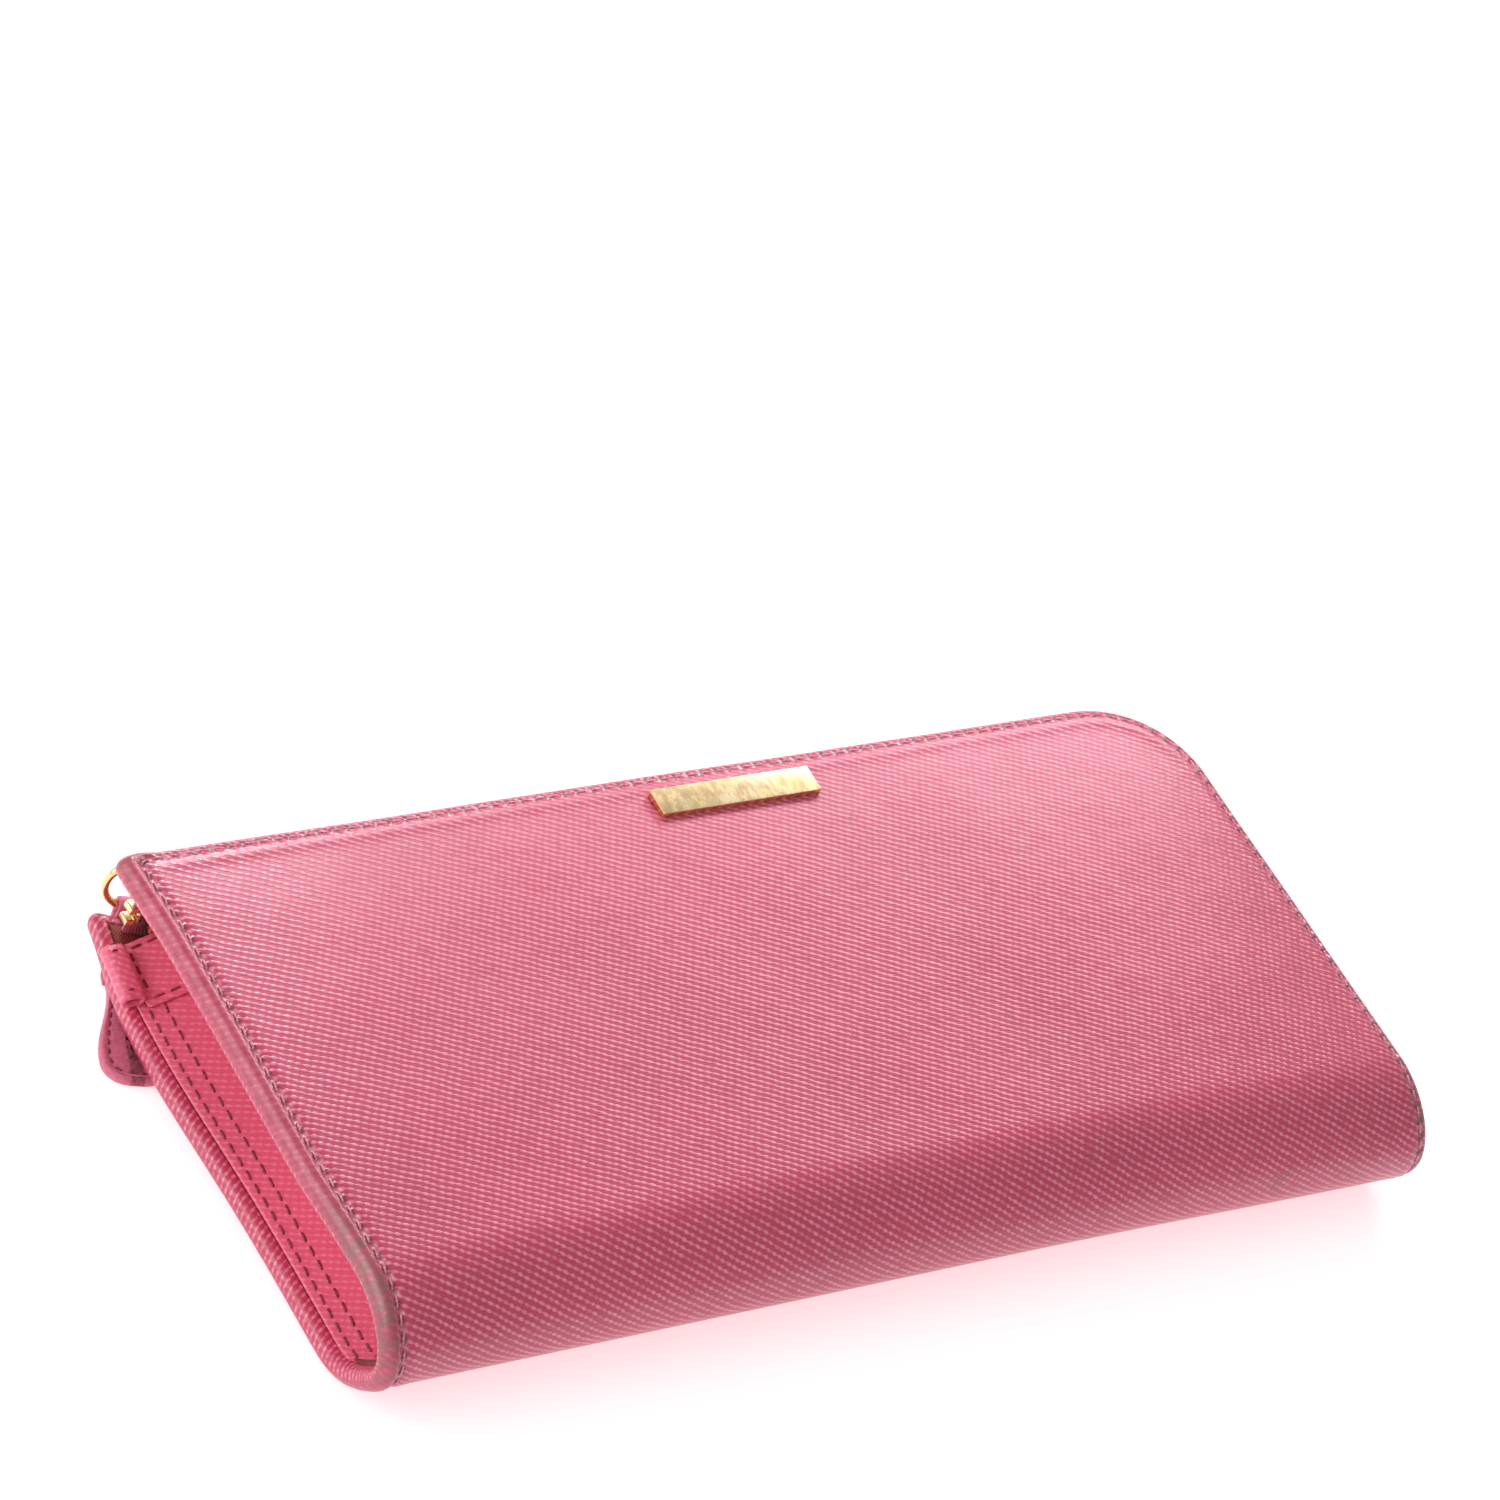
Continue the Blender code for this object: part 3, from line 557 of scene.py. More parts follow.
def soft_leather(name, dark, light, grain=520, depth=0.00005, **sockets):
    """Fine pebbled leather in two close tones, with painted shade in the pebble pits."""
    look = Look(name, **{"specular": 0.4, "sheen": 0.08, **sockets})
    pebble = look.cells(grain)
    fine = look.noise(grain * 2.2, 3.0)
    skin = look.mix(look.ramp(fine, 0.3, 0.7), dark, light)
    # painted shade: a darker copy of the dark tone in the pebble pits
    skin = look.mix(look.ramp(pebble, 0.0, 0.55, 0.35, 0.0), skin, tuple(c * 0.55 for c in dark))
    skin = look.mix(look.ramp(look.noise(60), 0.35, 0.75, 0.0, 0.35), skin, light)
    return look.finish(skin, look.ramp(fine, 0.2, 0.8, 0.42, 0.58), (pebble, depth), (fine, depth / 2))


def lining_cloth():
    """Close twill in brown red."""
    look = Look("lining", specular=0.3, sheen=0.25, sheen_rough=0.4)
    place = look.place()
    turn = FULL_TURN / 0.00045
    warp = look.math("SINE", look.dot(place, (turn, turn, 0)))
    weft = look.math("SINE", look.dot(place, (turn * 0.5, -turn * 0.5, 0)))
    weave = look.ramp(look.math("MULTIPLY_ADD", weft, 0.4, warp), -1.0, 1.2)
    cloud = look.noise(35, 3.0)
    tone = look.mix(look.ramp(cloud, 0.3, 0.7), (0.190, 0.024, 0.017), (0.270, 0.042, 0.028))
    return look.finish(look.mix(look.math("MULTIPLY", weave, 0.45), tone, (0.36, 0.075, 0.050)),
                       look.ramp(weave, 0.0, 1.0, 0.70, 0.48), (weave, 0.00006), (cloud, 0.0004))


def board():
    """Grey fibre board."""
    look = Look("board", specular=0.2)
    fibre = look.noise(700, 4.0, 0.7, stretch=(1, 0.25, 1))
    return look.finish(look.mix(look.ramp(fibre, 0.3, 0.7), (0.30, 0.27, 0.24), (0.46, 0.42, 0.37)),
                       look.ramp(fibre, 0.2, 0.8, 0.8, 0.95), (fibre, 0.00008))


def zip_tape():
    """Ribbed woven tape."""
    look = Look("zip_tape", specular=0.25, sheen=0.2)
    place = look.place()
    turn = FULL_TURN / 0.0006
    rib = look.math("SINE", look.dot(place, (turn, turn, 0)))
    pick = look.math("SINE", look.dot(place, (0, 0, FULL_TURN / 0.0004)))
    weave = look.ramp(look.math("MULTIPLY_ADD", pick, 0.6, rib), -1.2, 1.4)
    tone = look.mix(weave, (0.40, 0.065, 0.115), (0.62, 0.160, 0.225))
    return look.finish(look.mix(look.ramp(look.noise(120), 0.4, 0.8, 0.0, 0.3), tone, (0.33, 0.050, 0.090)),
                       look.ramp(weave, 0.0, 1.0, 0.9, 0.7), (weave, 0.00008))


def gold():
    """Pale gold plate with fine rubbing marks and slightly dull patches."""
    look = Look("gold", metallic=1.0)
    rubs = look.noise(900, 2.0, 0.5, stretch=(1, 0.5, 0.5))
    patch = look.noise(240, 3.0)
    tone = look.mix(look.ramp(patch, 0.35, 0.7), (0.84, 0.60, 0.30), (0.90, 0.72, 0.44))
    tarnish = look.ramp(look.noise(420, 4.0, 0.7), 0.62, 0.8, 0.0, 0.3)
    return look.finish(look.mix(tarnish, tone, (0.56, 0.38, 0.20)), look.ramp(rubs, 0.3, 0.7, 0.20, 0.30),
                       (rubs, 0.000005), (patch, 0.00002))


def thread(name, dark, light):
    """Twisted thread."""
    look = Look(name, specular=0.3)
    twist = look.noise(2600)
    return look.finish(look.mix(look.ramp(twist, 0.3, 0.7), dark, light), look.ramp(twist, 0.2, 0.8, 0.5, 0.75),
                       (twist, 0.00006))


# each hatched leather's first tone is its painted shade in the cuts, its second its painted highlight on the
# lozenge tops
OUTER = hatched("outer_leather", (0.50, 0.034, 0.088), (0.80, 0.230, 0.345), trimmed=True)
TAB = soft_leather("tab_leather", (0.54, 0.105, 0.185), (0.68, 0.175, 0.270), 640)
INNER = soft_leather("inner_leather", (0.46, 0.085, 0.140), (0.60, 0.150, 0.215), 760)
GUSSET = hatched("gusset_leather", (0.72, 0.110, 0.195), (0.84, 0.215, 0.320), specular=0.45)
LINING, BOARD, TAPE, GOLD = lining_cloth(), board(), zip_tape(), gold()
ROSE_THREAD = thread("rose_thread", (0.58, 0.120, 0.190), (0.90, 0.400, 0.490))
WINE_THREAD = thread("wine_thread", (0.150, 0.015, 0.030), (0.400, 0.060, 0.100))


def bend_with_cover(piece, nodes=()):
    """Hides the CAD nodes named, if any, and bakes the piece's placement into its mesh."""
    if nodes:
        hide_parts(*nodes)
    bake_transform(piece)


# ---- the outer leather ----
SKIN_BOX = (LEFT, RIGHT, 0.0, SPAN)
SKIN_RADII = (SHARP_R, CORNER_R, SHARP_R, CORNER_R)
SEAM_LEFT, SEAM_IN = 0.0032, 0.0019            # the seam's distance in from the padded left edge and the others
SEAM_BOX = (LEFT + SEAM_LEFT, RIGHT - SEAM_IN, SEAM_IN, SPAN - SEAM_IN)
SEAM_RADII = (0.0012, CORNER_R - SEAM_IN, 0.0012, CORNER_R - SEAM_IN)


def seam_distance(a, b):
    """Distance in from the seam, negative between the seam and the edge."""
    return inset_of(a, b, SEAM_BOX, SEAM_RADII)[0]


def edge_relief(a, b):
    """The stitch groove, with a padded roll outside it on the left edge and a slight swell inside it. Both fade out
    down the spine."""
    within = seam_distance(a, b)
    front = ease(b, FLAT + 0.1 * FOLD_LONG, FLAT + 0.7 * FOLD_LONG)
    left = 1 - ease(a - LEFT, 0.004, 0.007)
    groove = (0.00018 + 0.00022 * left) * bell(within, 0, 0.00065)
    pad = 0.00050 * left * bell(within, -0.0016, 0.0010)
    return groove - (pad + 0.00014 * bell(within, 0.0019, 0.0012)) * front


def turned_in(inset):
    """The depth of the leather's inner face, deeper where the edge is folded back."""
    ply = LEATHER + (TURNED_EDGE - LEATHER) * (1 - ease(inset, EDGE_WIDTH, EDGE_WIDTH + 0.0004))
    return np.where(inset < EDGE_WIDTH, TURNED_EDGE, ply)


def store(piece, key, values):
    """Writes one number per vertex as a named attribute."""
    piece.data.attributes.new(key, "FLOAT", "POINT").data.foreach_set("value", np.asarray(values, np.float32))


def stored(piece, key, width):
    """The numbers of a vertex attribute, one row for each vertex."""
    values = np.zeros(len(piece.data.vertices) * width, np.float32)
    piece.data.attributes[key].data.foreach_get("vector" if width > 1 else "value", values)
    return values.reshape(-1, width) if width > 1 else values


# where the edge is scuffed (x, s, reach, how much) and where the front is nicked (x, s, reach)
SCUFFS = ((LEFT, SPAN, 0.006, 0.6), (LEFT, FRONT_START + 0.001, 0.009, 0.95),
          (LEFT, FRONT_START - 0.012, 0.009, 0.8), (RIGHT, FRONT_START - 0.010, 0.010, 1.0),
          (LEFT, 0.0, 0.005, 0.7), (LEFT, FRONT_START + 0.030, 0.012, 0.15))
NICKS = ((0.066, FRONT_START - 0.016, 0.0012), (0.0685, FRONT_START - 0.0145, 0.0007),
         (-0.020, FRONT_START - 0.012, 0.0008))
NICK_DEPTH = 0.6


def outer_skin():
    """One skin of leather round both panels and the spine, with its seam."""
    skin = leaf("outer_skin", section, SKIN_BOX, SKIN_RADII, 0.0, TURNED_EDGE, OUTER, step=0.0014,
                relief=edge_relief, hem=turned_in)
    flat, edge = stored(skin, "flat", 3), stored(skin, "edge", 1)
    step = PITCH / 8
    seam = rim_line(SEAM_BOX, SEAM_RADII, step=step)
    tree = kdtree.KDTree(len(seam))
    for number, (a, b) in enumerate(seam):
        tree.insert((a, b, 0), number)
    tree.balance()
    store(skin, "run", [tree.find(p)[1] * step for p in flat])
    store(skin, "seam", seam_distance(flat[:, 0], flat[:, 1]))
    store(skin, "left", 1 - ease(flat[:, 0] - LEFT, 0.004, 0.007))
    near = 1 - ease(edge, 0.0012, 0.0042)
    worn = np.zeros(len(edge))
    for a, b, reach, amount in SCUFFS:
        worn += amount * near * bell(np.hypot(flat[:, 0] - a, flat[:, 1] - b), 0, reach)
    for a, b, reach in NICKS:
        worn += NICK_DEPTH * bell(np.hypot(flat[:, 0] - a, flat[:, 1] - b), 0, reach)
    store(skin, "worn", np.clip(worn, 0, 1))
    bend_with_cover(skin, ("front_outer", "rear_outer"))
    rows = [on_surface(section, rim_line(SEAM_BOX, SEAM_RADII), 0.00028)]
    bend_with_cover(stitches("edge_stitches", rows, ROSE_THREAD, slant=0.00016))


# ---- lining, boards and the flat pockets ----
LINED_EDGE = EDGE_WIDTH + 0.0003               # how far in from the outline the lining and boards stop
LINING_PLY, BOARD_PLY, PANEL_PLY, SLOT_PLY, PLY_GAP = 0.0006, 0.0010, 0.0006, 0.0005, 0.00025
SLOT_TOPS = (0.026, 0.016, 0.006)              # the stepped card slots' mouths, y
MOUTH_SEAM = 0.0022                            # their stitching's distance in from the mouth


def inner_lining():
    box = (LEFT + LINED_EDGE, RIGHT - LINED_EDGE, LINED_EDGE, SPAN - LINED_EDGE)
    radii = (0.0008, CORNER_R - EDGE_WIDTH, 0.0008, CORNER_R - EDGE_WIDTH)
    piece = leaf("inner_lining", section, box, radii, WALL - LINING_PLY, WALL, LINING, step=0.0022)
    bend_with_cover(piece, ("front_lining", "rear_lining"))


def panel_pieces(prefix, body):
    """A panel's stiffening board, bill panel and card slots, with a stitched turning along each slot's mouth."""
    front = prefix == "front"
    start = FRONT_START if front else 0.0

    def span(low_y, high_y):
        return (start + low_y - FOLD_Y, start + high_y - FOLD_Y) if front else (FRONT - high_y, FRONT - low_y)

    radii = (0.001, 0.001, 0.001, CORNER_R - LINED_EDGE) if front else (0.001, CORNER_R - LINED_EDGE, 0.001, 0.001)
    board_piece = leaf(f"{prefix}_board_ply", section,
                       (LEFT + LINED_EDGE, RIGHT - LINED_EDGE, *span(FOLD_Y + 0.0003, FRONT - LINED_EDGE)), radii,
                       0.00165, 0.00165 + BOARD_PLY, BOARD)
    settle(board_piece, body, "board", f"{prefix}_board")
    depth = WALL + 0.0006
    pockets = [("bill_panel", (-0.086, 0.090), 0.038, PANEL_PLY)]
    pockets += [(f"card_slot_{number}", (-0.079, 0.084), top, SLOT_PLY) for number, top in enumerate(SLOT_TOPS, 1)]
    for name, across, top, thickness in pockets:
        along = span(-0.036, top)
        piece = leaf(f"{prefix}_{name}_ply", section, (*across, *along), (0.0015,) * 4, depth, depth + thickness,
                     INNER)
        settle(piece, body, "inner_leather", f"{prefix}_{name}")
        mouth = along[1] - MOUTH_SEAM if front else along[0] + MOUTH_SEAM
        line = np.stack([np.linspace(across[0] + 0.002, across[1] - 0.002, 300), np.full(300, mouth)], 1)
        at, up = on_surface(section, line, depth + thickness)
        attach(stitches(f"{prefix}_{name}_stitches", [(at, -up)], **SLOT_STITCH), body)
        depth += thickness + PLY_GAP


# ---- the zip ----
def zip_path(start_x, end_y, step):
    """The zip's line: along the top edge, round the corner and down the right side, with its outward direction."""
    top, right, radius = FRONT - ZIP_INSET, RIGHT - ZIP_INSET, CORNER_R - ZIP_INSET
    line = np.concatenate([[(start_x, top)], arc_points((right - radius, top - radius), radius, 90, 0, 40),
                           [(right, end_y)]])
    at, ahead = resample(line, step)
    return at, turned(ahead)


def panel_face(at, side, depth):
    """Height of a panel's inner face over places in plan."""
    if side < 0:
        return np.full(len(at), depth)
    return THICK - depth + rise(at[:, 0], FRONT_START + at[:, 1] - FOLD_Y)


TOOTH_PITCH = 0.0019
TOOTH = np.array([(-0.50, 1.95), (0.50, 1.95), (0.52, 1.2), (0.34, 0.75), (0.34, 0.30), (0.52, 0.05), (0.46, -0.36),
                  (0.16, -0.52), (-0.16, -0.52), (-0.46, -0.36), (-0.52, 0.05), (-0.34, 0.30), (-0.34, 0.75),
                  (-0.52, 1.2)]) * MM


def teeth_row(name, at, outward, side, half, size=1.0):
    """A row of metal zip teeth: clamp, neck and rounded head, each one a small bevelled solid. side is 1 for the
    front's row and -1 for the rear's, half a pitch along from it."""
    heap = Heap()
    rings = ((-half, 0.78), (-half + 0.00016, 1.0), (half - 0.00016, 1.0), (half, 0.78))
    centre = TOOTH.mean(0)
    first = (side + 1) // 2
    for (x, y), (ox, oy) in zip(at[first::2], outward[first::2]):
        along = np.array((oy, -ox, 0))
        out = np.array((ox, oy, 0))
        points = []
        for reach, shrink in rings:
            outline = (centre + (TOOTH - centre) * shrink) * size
            points.append(np.array((x, y, MID)) + out * reach + along * outline[:, :1]
                          + np.array((0, 0, side)) * outline[:, 1:])
        heap.add(np.concatenate(points), tube_faces(len(rings), len(TOOTH)))
    return heap.make(name, GOLD)


TAPE_HALF, TAPE_BELLY = 0.0003, 0.00045        # the tape's half thickness, and how far it bows out


def main_zip():
    """Both tapes, rows of teeth and stops, and the leather tab over the zip's lower end."""
    path, outward = zip_path(ZIP_START_X - 0.0006, ZIP_END_Y - 0.003, 0.0012)
    teeth_at, teeth_out = zip_path(ZIP_START_X + 0.0004, ZIP_END_Y + 0.0005, TOOTH_PITCH / 2)
    for prefix, side, body in (("rear", -1, "rear_shell"), ("front", 1, "front_cover")):
        teeth = teeth_row(f"{prefix}_teeth", teeth_at, teeth_out, side, 0.00095)
        settle(teeth, body, "gold", f"{prefix}_zip_teeth")
        near = np.full(len(path), MID + side * (TEETH_NEAR + 0.0008))
        far = panel_face(path, side, WALL + 0.0001)
        share = np.linspace(0, 1, 9)
        belly = TAPE_BELLY * np.sin(np.pi * share)
        offsets = np.concatenate([belly + TAPE_HALF, (belly - TAPE_HALF)[::-1]])
        rings = np.zeros((len(path), len(offsets), 3))
        rings[..., :2] = path[:, None] + outward[:, None] * offsets[None, :, None]
        rings[..., 2] = near[:, None] + (far - near)[:, None] * np.concatenate([share, share[::-1]])
        tape = make_object(f"{prefix}_tape", rings, tube_faces(*rings.shape[:2]), TAPE)
        settle(tape, body, "zip_tape", f"{prefix}_zip_tape")
        from_cad(f"{prefix}_zip_stop", f"{prefix}_stop", GOLD, "gold", body, 0.0003)
    from_cad("zip_end_tab", "zip_end_cover", INNER, "inner_leather", "rear_shell", 0.0005)


MAIN_SLIDER = {"length": 0.0092, "width": 0.0074, "gap": 0.0028, "plate": 0.0010, "arch": 0.0022, "wire": 0.0009,
               "nose": 0.0018}
COIN_SLIDER = {"length": 0.0070, "width": 0.0036, "gap": 0.0022, "plate": 0.0007, "arch": 0.0016, "wire": 0.0006,
               "nose": 0.0014}


def slider(name, node, at, length, width, gap, plate, arch, wire, nose):
    """A zip slider (x along the zip, y out of it, w across it) that stands for a node and rides on the body of the
    same name: two shield-shaped plates, the post between them and a rounded bridge over the outer one."""
    heap = Heap()
    half = width / 2
    shield = np.concatenate([arc_points((-length / 2 + 0.42 * half, half * 0.58), half * 0.42, 180, 90, 5),
                             arc_points((length / 2 - nose, half * 0.42), half * 0.40, 90, 20, 5),
                             arc_points((length / 2 - nose, -half * 0.42), half * 0.40, -20, -90, 5),
                             arc_points((-length / 2 + 0.42 * half, -half * 0.58), half * 0.42, -90, -180, 5)])
    bevel = plate * 0.42
    heap.add(*slab(shield, gap / 2, gap / 2 + plate, bevel))
    heap.add(*slab(shield * 0.97, -gap / 2 - plate, -gap / 2, bevel))
    post = arc_points((-length * 0.26, 0), 0.0004, 0, 360, 12)[:-1]
    heap.add(*slab(post, -gap / 2 - plate / 2, gap / 2 + plate / 2, 0.00005))
    turn = np.radians(np.linspace(0, 180, 17))
    bridge_y = gap / 2 + plate * 0.7 + (arch + 0.3 * plate + wire / 2) * np.sin(turn) ** 0.7
    bridge_x = length * 0.31 * np.sign(np.cos(turn)) * np.abs(np.cos(turn)) ** 0.8
    line = np.stack([bridge_x, bridge_y, np.zeros_like(turn)], 1)
    ahead = unit(np.gradient(line, axis=0))
    out = np.stack([-ahead[:, 1], ahead[:, 0], np.zeros_like(turn)], 1)
    around = np.linspace(0, FULL_TURN, 12, endpoint=False)
    swell = 1 + 0.35 * np.abs(np.cos(turn))
    ring = (out[:, None] * (wire * 0.5 * np.cos(around))[None, :, None]
            + UP * (swell[:, None] * wire * 0.95 * np.sin(around)[None, :])[..., None])
    heap.add(line[:, None] + ring, tube_faces(len(line), len(around)))
    heap.points = [points + np.array(at) for points in heap.points]
    settle(heap.make(name, GOLD), node, "gold", node)


RING_LOW, RING_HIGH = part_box("pull_ring")
RING_AT = np.array((RING_LOW + RING_HIGH) / 2)
RING_U = np.array((math.cos(RING_TURN), math.sin(RING_TURN), 0))
RING_V = np.array((-math.sin(RING_TURN), math.cos(RING_TURN), 0))
UP = np.array((0, 0, 1.0))


def ring():
    """A round wire ring, slightly flattened where its ends meet."""
    turn = np.linspace(0, FULL_TURN, 72, endpoint=False)
    around = np.linspace(0, FULL_TURN, 14, endpoint=False)
    radial = RING_U * np.cos(turn)[:, None] + UP * np.sin(turn)[:, None]
    pinch = 1 - 0.16 * bell(turn, 2.2, 0.035)
    wire = RING_WIRE * pinch[:, None, None]
    centre = RING_AT + radial * RING_R
    points = centre[:, None] + wire * (radial[:, None] * np.cos(around)[None, :, None]
                                       + RING_V * np.sin(around)[None, :, None])
    made = make_object("ring", points, tube_faces(len(turn), len(around), closed=True), GOLD, in_wallet=False)
    settle(made, "pull_ring", "gold", "pull_ring")


TAB_LONG, TAB_WIDE, TAB_THICK = 0.0280, 0.0104, 0.0020
TAB_BOX, TAB_RADII = (-TAB_WIDE / 2, TAB_WIDE / 2, 0.0036, TAB_LONG), (0.0040,) * 4
TAB_SEAM = 0.0014
NECK, STRAP = 0.0030, 0.0008                   # the strap's width and thickness
RING_EYE = RING_AT - UP * RING_R
RING_FOOT = RING_EYE * np.array((1, 1, 0))


def tab_surface(a, b, depth):
    """Maps tab places (across, along) and a depth to the row frame, with the tab lying flat on the floor."""
    a, b, depth = np.broadcast_arrays(a, b, depth)
    flare = 0.36 + 0.64 * ease(b, 0.0080, 0.0235)
    return RING_FOOT + RING_U * (a * flare)[..., None] + RING_V * b[..., None] + UP * (TAB_THICK - depth)[..., None]


def tab_relief(a, b):
    """The tab's stitch groove and the slight swell inside it."""
    inset = inset_of(a, b, TAB_BOX, TAB_RADII)[0]
    return 0.00022 * bell(inset, TAB_SEAM, 0.0005) - 0.00012 * ease(inset, 0.002, 0.004)


def pull_tab():
    """The leather tab: two plies stitched round their edge."""
    tab = leaf("tab", tab_surface, TAB_BOX, TAB_RADII, 0.0, TAB_THICK, TAB, step=0.0009, relief=tab_relief)
    # leaf() works in the wallet frame, and the tab lies in the row frame
    undo = Matrix(((1, 0, 0, 0), (0, COS, SIN, 0), (0, -SIN, COS, 0), (0, 0, 0, 1))) @ Matrix.Translation(
        -Vector(ORIGIN))
    tab.data.transform(undo)
    settle(tab, "pull_tab", "tab_leather", "pull_tab")
    rows = [on_surface(tab_surface, rim_line(TAB_BOX, TAB_RADII, TAB_SEAM, 0.0003), 0.0002)]
    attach(stitches("tab_stitches", rows, in_wallet=False, **TAB_STITCH), "pull_tab")


def tab_strap():
    """The strap from between the tab's plies, up round the ring and back down on top of the tab."""
    drop = RING_EYE[2]
    loop_r = RING_WIRE + STRAP / 2 + 0.00008
    low, high = STRAP / 2 + 0.0001, TAB_THICK - STRAP / 2 - 0.0001
    bend, top_bend, leave = 0.0020, 0.0013, 0.0022
    path = [(0.0075, low), (0.0050, low)] + arc_points((bend, low + bend), bend, 270, 180, 8).tolist()
    path += [(-loop_r + 0.0003, drop - leave)] + arc_points((0, drop), loop_r, 190, -10, 16).tolist()
    path += [(loop_r - 0.0003, drop - leave)]
    path += arc_points((0.0031, high + top_bend), top_bend, 185, 270, 6).tolist() + [(0.0075, high)]
    line, ahead = resample(np.array(path), 0.0003)
    side_way = turned(ahead)
    loop = [(math.copysign(abs(math.cos(turn)) ** 0.35, math.cos(turn)) * NECK / 2,
             math.copysign(abs(math.sin(turn)) ** 0.7, math.sin(turn)) * STRAP / 2)
            for turn in np.radians(np.arange(0, 360, 22.5))]
    widen = 1 + 0.5 * ease(line[:, 0], 0.003, 0.006)
    rings = [[RING_FOOT + RING_U * a * wide + RING_V * (y + sy * b) + UP * (z + sz * b) for a, b in loop]
             for (y, z), (sy, sz), wide in zip(line, side_way, widen)]
    strap = make_object("tab_strap", rings, tube_faces(len(rings), len(loop)), TAB, in_wallet=False)
    settle(strap, "pull_tab", "tab_leather")


# ---- the left end ----
GUSSET_LOW, GUSSET_HIGH = -0.0416, 0.0422
GUSSET_PLY = 0.00035
GUSSET_STEP = 0.0005
GUSSET_SEAMS = (0.0013, 0.0036)                # the stitch rows' distances along the section from each flange
PATCH_BOX, PATCH_RADII = (0.0012, 0.0160, 0.0300, GUSSET_HIGH - 0.0003), (0.0008,) * 4
PATCH_LIFT = 0.0007


def gusset_lines():
    """The gusset's section from the rear flange in to the fold and out to the front flange: (in from the left end,
    up from the middle), with the direction square to it."""
    half = np.array([(0.0021, -MID + 0.0037), (0.0030, -MID + 0.0040), (0.0042, -MID + 0.0044),
                     (0.0060, -MID + 0.0052), (0.0120, -0.0024), (0.0180, -0.00095), (0.0212, -0.00042)])
    nose = arc_points((0.0222, 0), 0.00042, -80, 80, 6)
    at, ahead = resample(np.concatenate([half, nose, half[::-1] * np.array((1, -1))]), GUSSET_STEP)
    return at, turned(ahead)


GUSSET_AT, GUSSET_SIDE = gusset_lines()
GUSSET_LONG = (len(GUSSET_AT) - 1) * GUSSET_STEP


def gusset_surface(a, b, depth):
    """A wallet-frame point on the gusset: a is the run along its section, b is y, depth is measured into the wallet
    from its visible face."""
    a, b, depth = np.broadcast_arrays(np.asarray(a, float), np.asarray(b, float), np.asarray(depth, float))
    run = np.arange(len(GUSSET_AT)) * GUSSET_STEP
    at, side = look_up(a, run, GUSSET_AT), unit(look_up(a, run, GUSSET_SIDE))
    out = GUSSET_PLY - depth
    into, up = at[..., 0] + side[..., 0] * out, at[..., 1] + side[..., 1] * out
    slack = (0.00035 * np.sin(b * 210) + 0.0006 * ease(b, 0.015, GUSSET_HIGH)) * ease(into, 0.005, 0.02)
    up = up * np.sqrt(1 - np.clip((FOLD_Y - b) / (FOLD_REACH - WALL + 0.0002), 0, 0.95) ** 2)
    b = b - 0.0014 * ease(into, 0.008, 0.014) * ease(b, 0.030, GUSSET_HIGH)
    rear_share = 1 - ease(MID + up, 0.004, 0.016)
    edge = lean(LEFT, FRONT - b) * rear_share + lean(LEFT, FRONT_START + b - FOLD_Y) * (1 - rear_share)
    return np.stack([LEFT + into + slack + edge * (1 - ease(into, 0, 0.018)), b, MID + up], -1)


def patch_surface(a, b, depth):
    return gusset_surface(a, b, depth - PATCH_LIFT)


def gusset():
    """The folded gusset: a flange beside each panel's edge and a fold that points into the wallet, with a stitched
    patch at the top of its rear half."""
    box = (0.0, GUSSET_LONG, GUSSET_LOW, GUSSET_HIGH)
    piece = leaf("gusset", gusset_surface, box, (0.0005,) * 4, 0.0, 2 * GUSSET_PLY, GUSSET, step=0.0010)
    bend_with_cover(piece, ("left_gusset",))
    rows = []
    for run in (*GUSSET_SEAMS, *(GUSSET_LONG - seam for seam in GUSSET_SEAMS)):
        line = np.stack([np.full(500, run), np.linspace(GUSSET_LOW + 0.002, GUSSET_HIGH - 0.001, 500)], 1)
        rows.append(on_surface(gusset_surface, line, 0.0))
    bend_with_cover(stitches("gusset_stitches", rows, slant=0.00010))
    patch = leaf("gusset_patch", patch_surface, PATCH_BOX, PATCH_RADII, 0.0, 0.00065, GUSSET, step=0.0008)
    bend_with_cover(patch)
    rows = [on_surface(patch_surface, rim_line(PATCH_BOX, PATCH_RADII, 0.0012, 0.0003), 0.0)]
    bend_with_cover(stitches("gusset_patch_stitches", rows, **PATCH_STITCH))


LOOP_LOW, LOOP_HIGH = np.array((LEFT - 0.0016, WALL + 0.0006)), np.array((LEFT + 0.0026, WALL + 0.0032))
LOOP_START, LOOP_END = 0.0310, 0.0405          # y
LOOP_WALL, LOOP_RADIUS = 0.0009, 0.0008


def loop_place(x, y, w):
    """Moves a point of the wrist loop with the rear edge, which bows out and curls up."""
    return (x + float(lean(LEFT, FRONT - y)) * 0.7, y, w + 0.0010 * float(ease(y, 0.030, 0.040)))


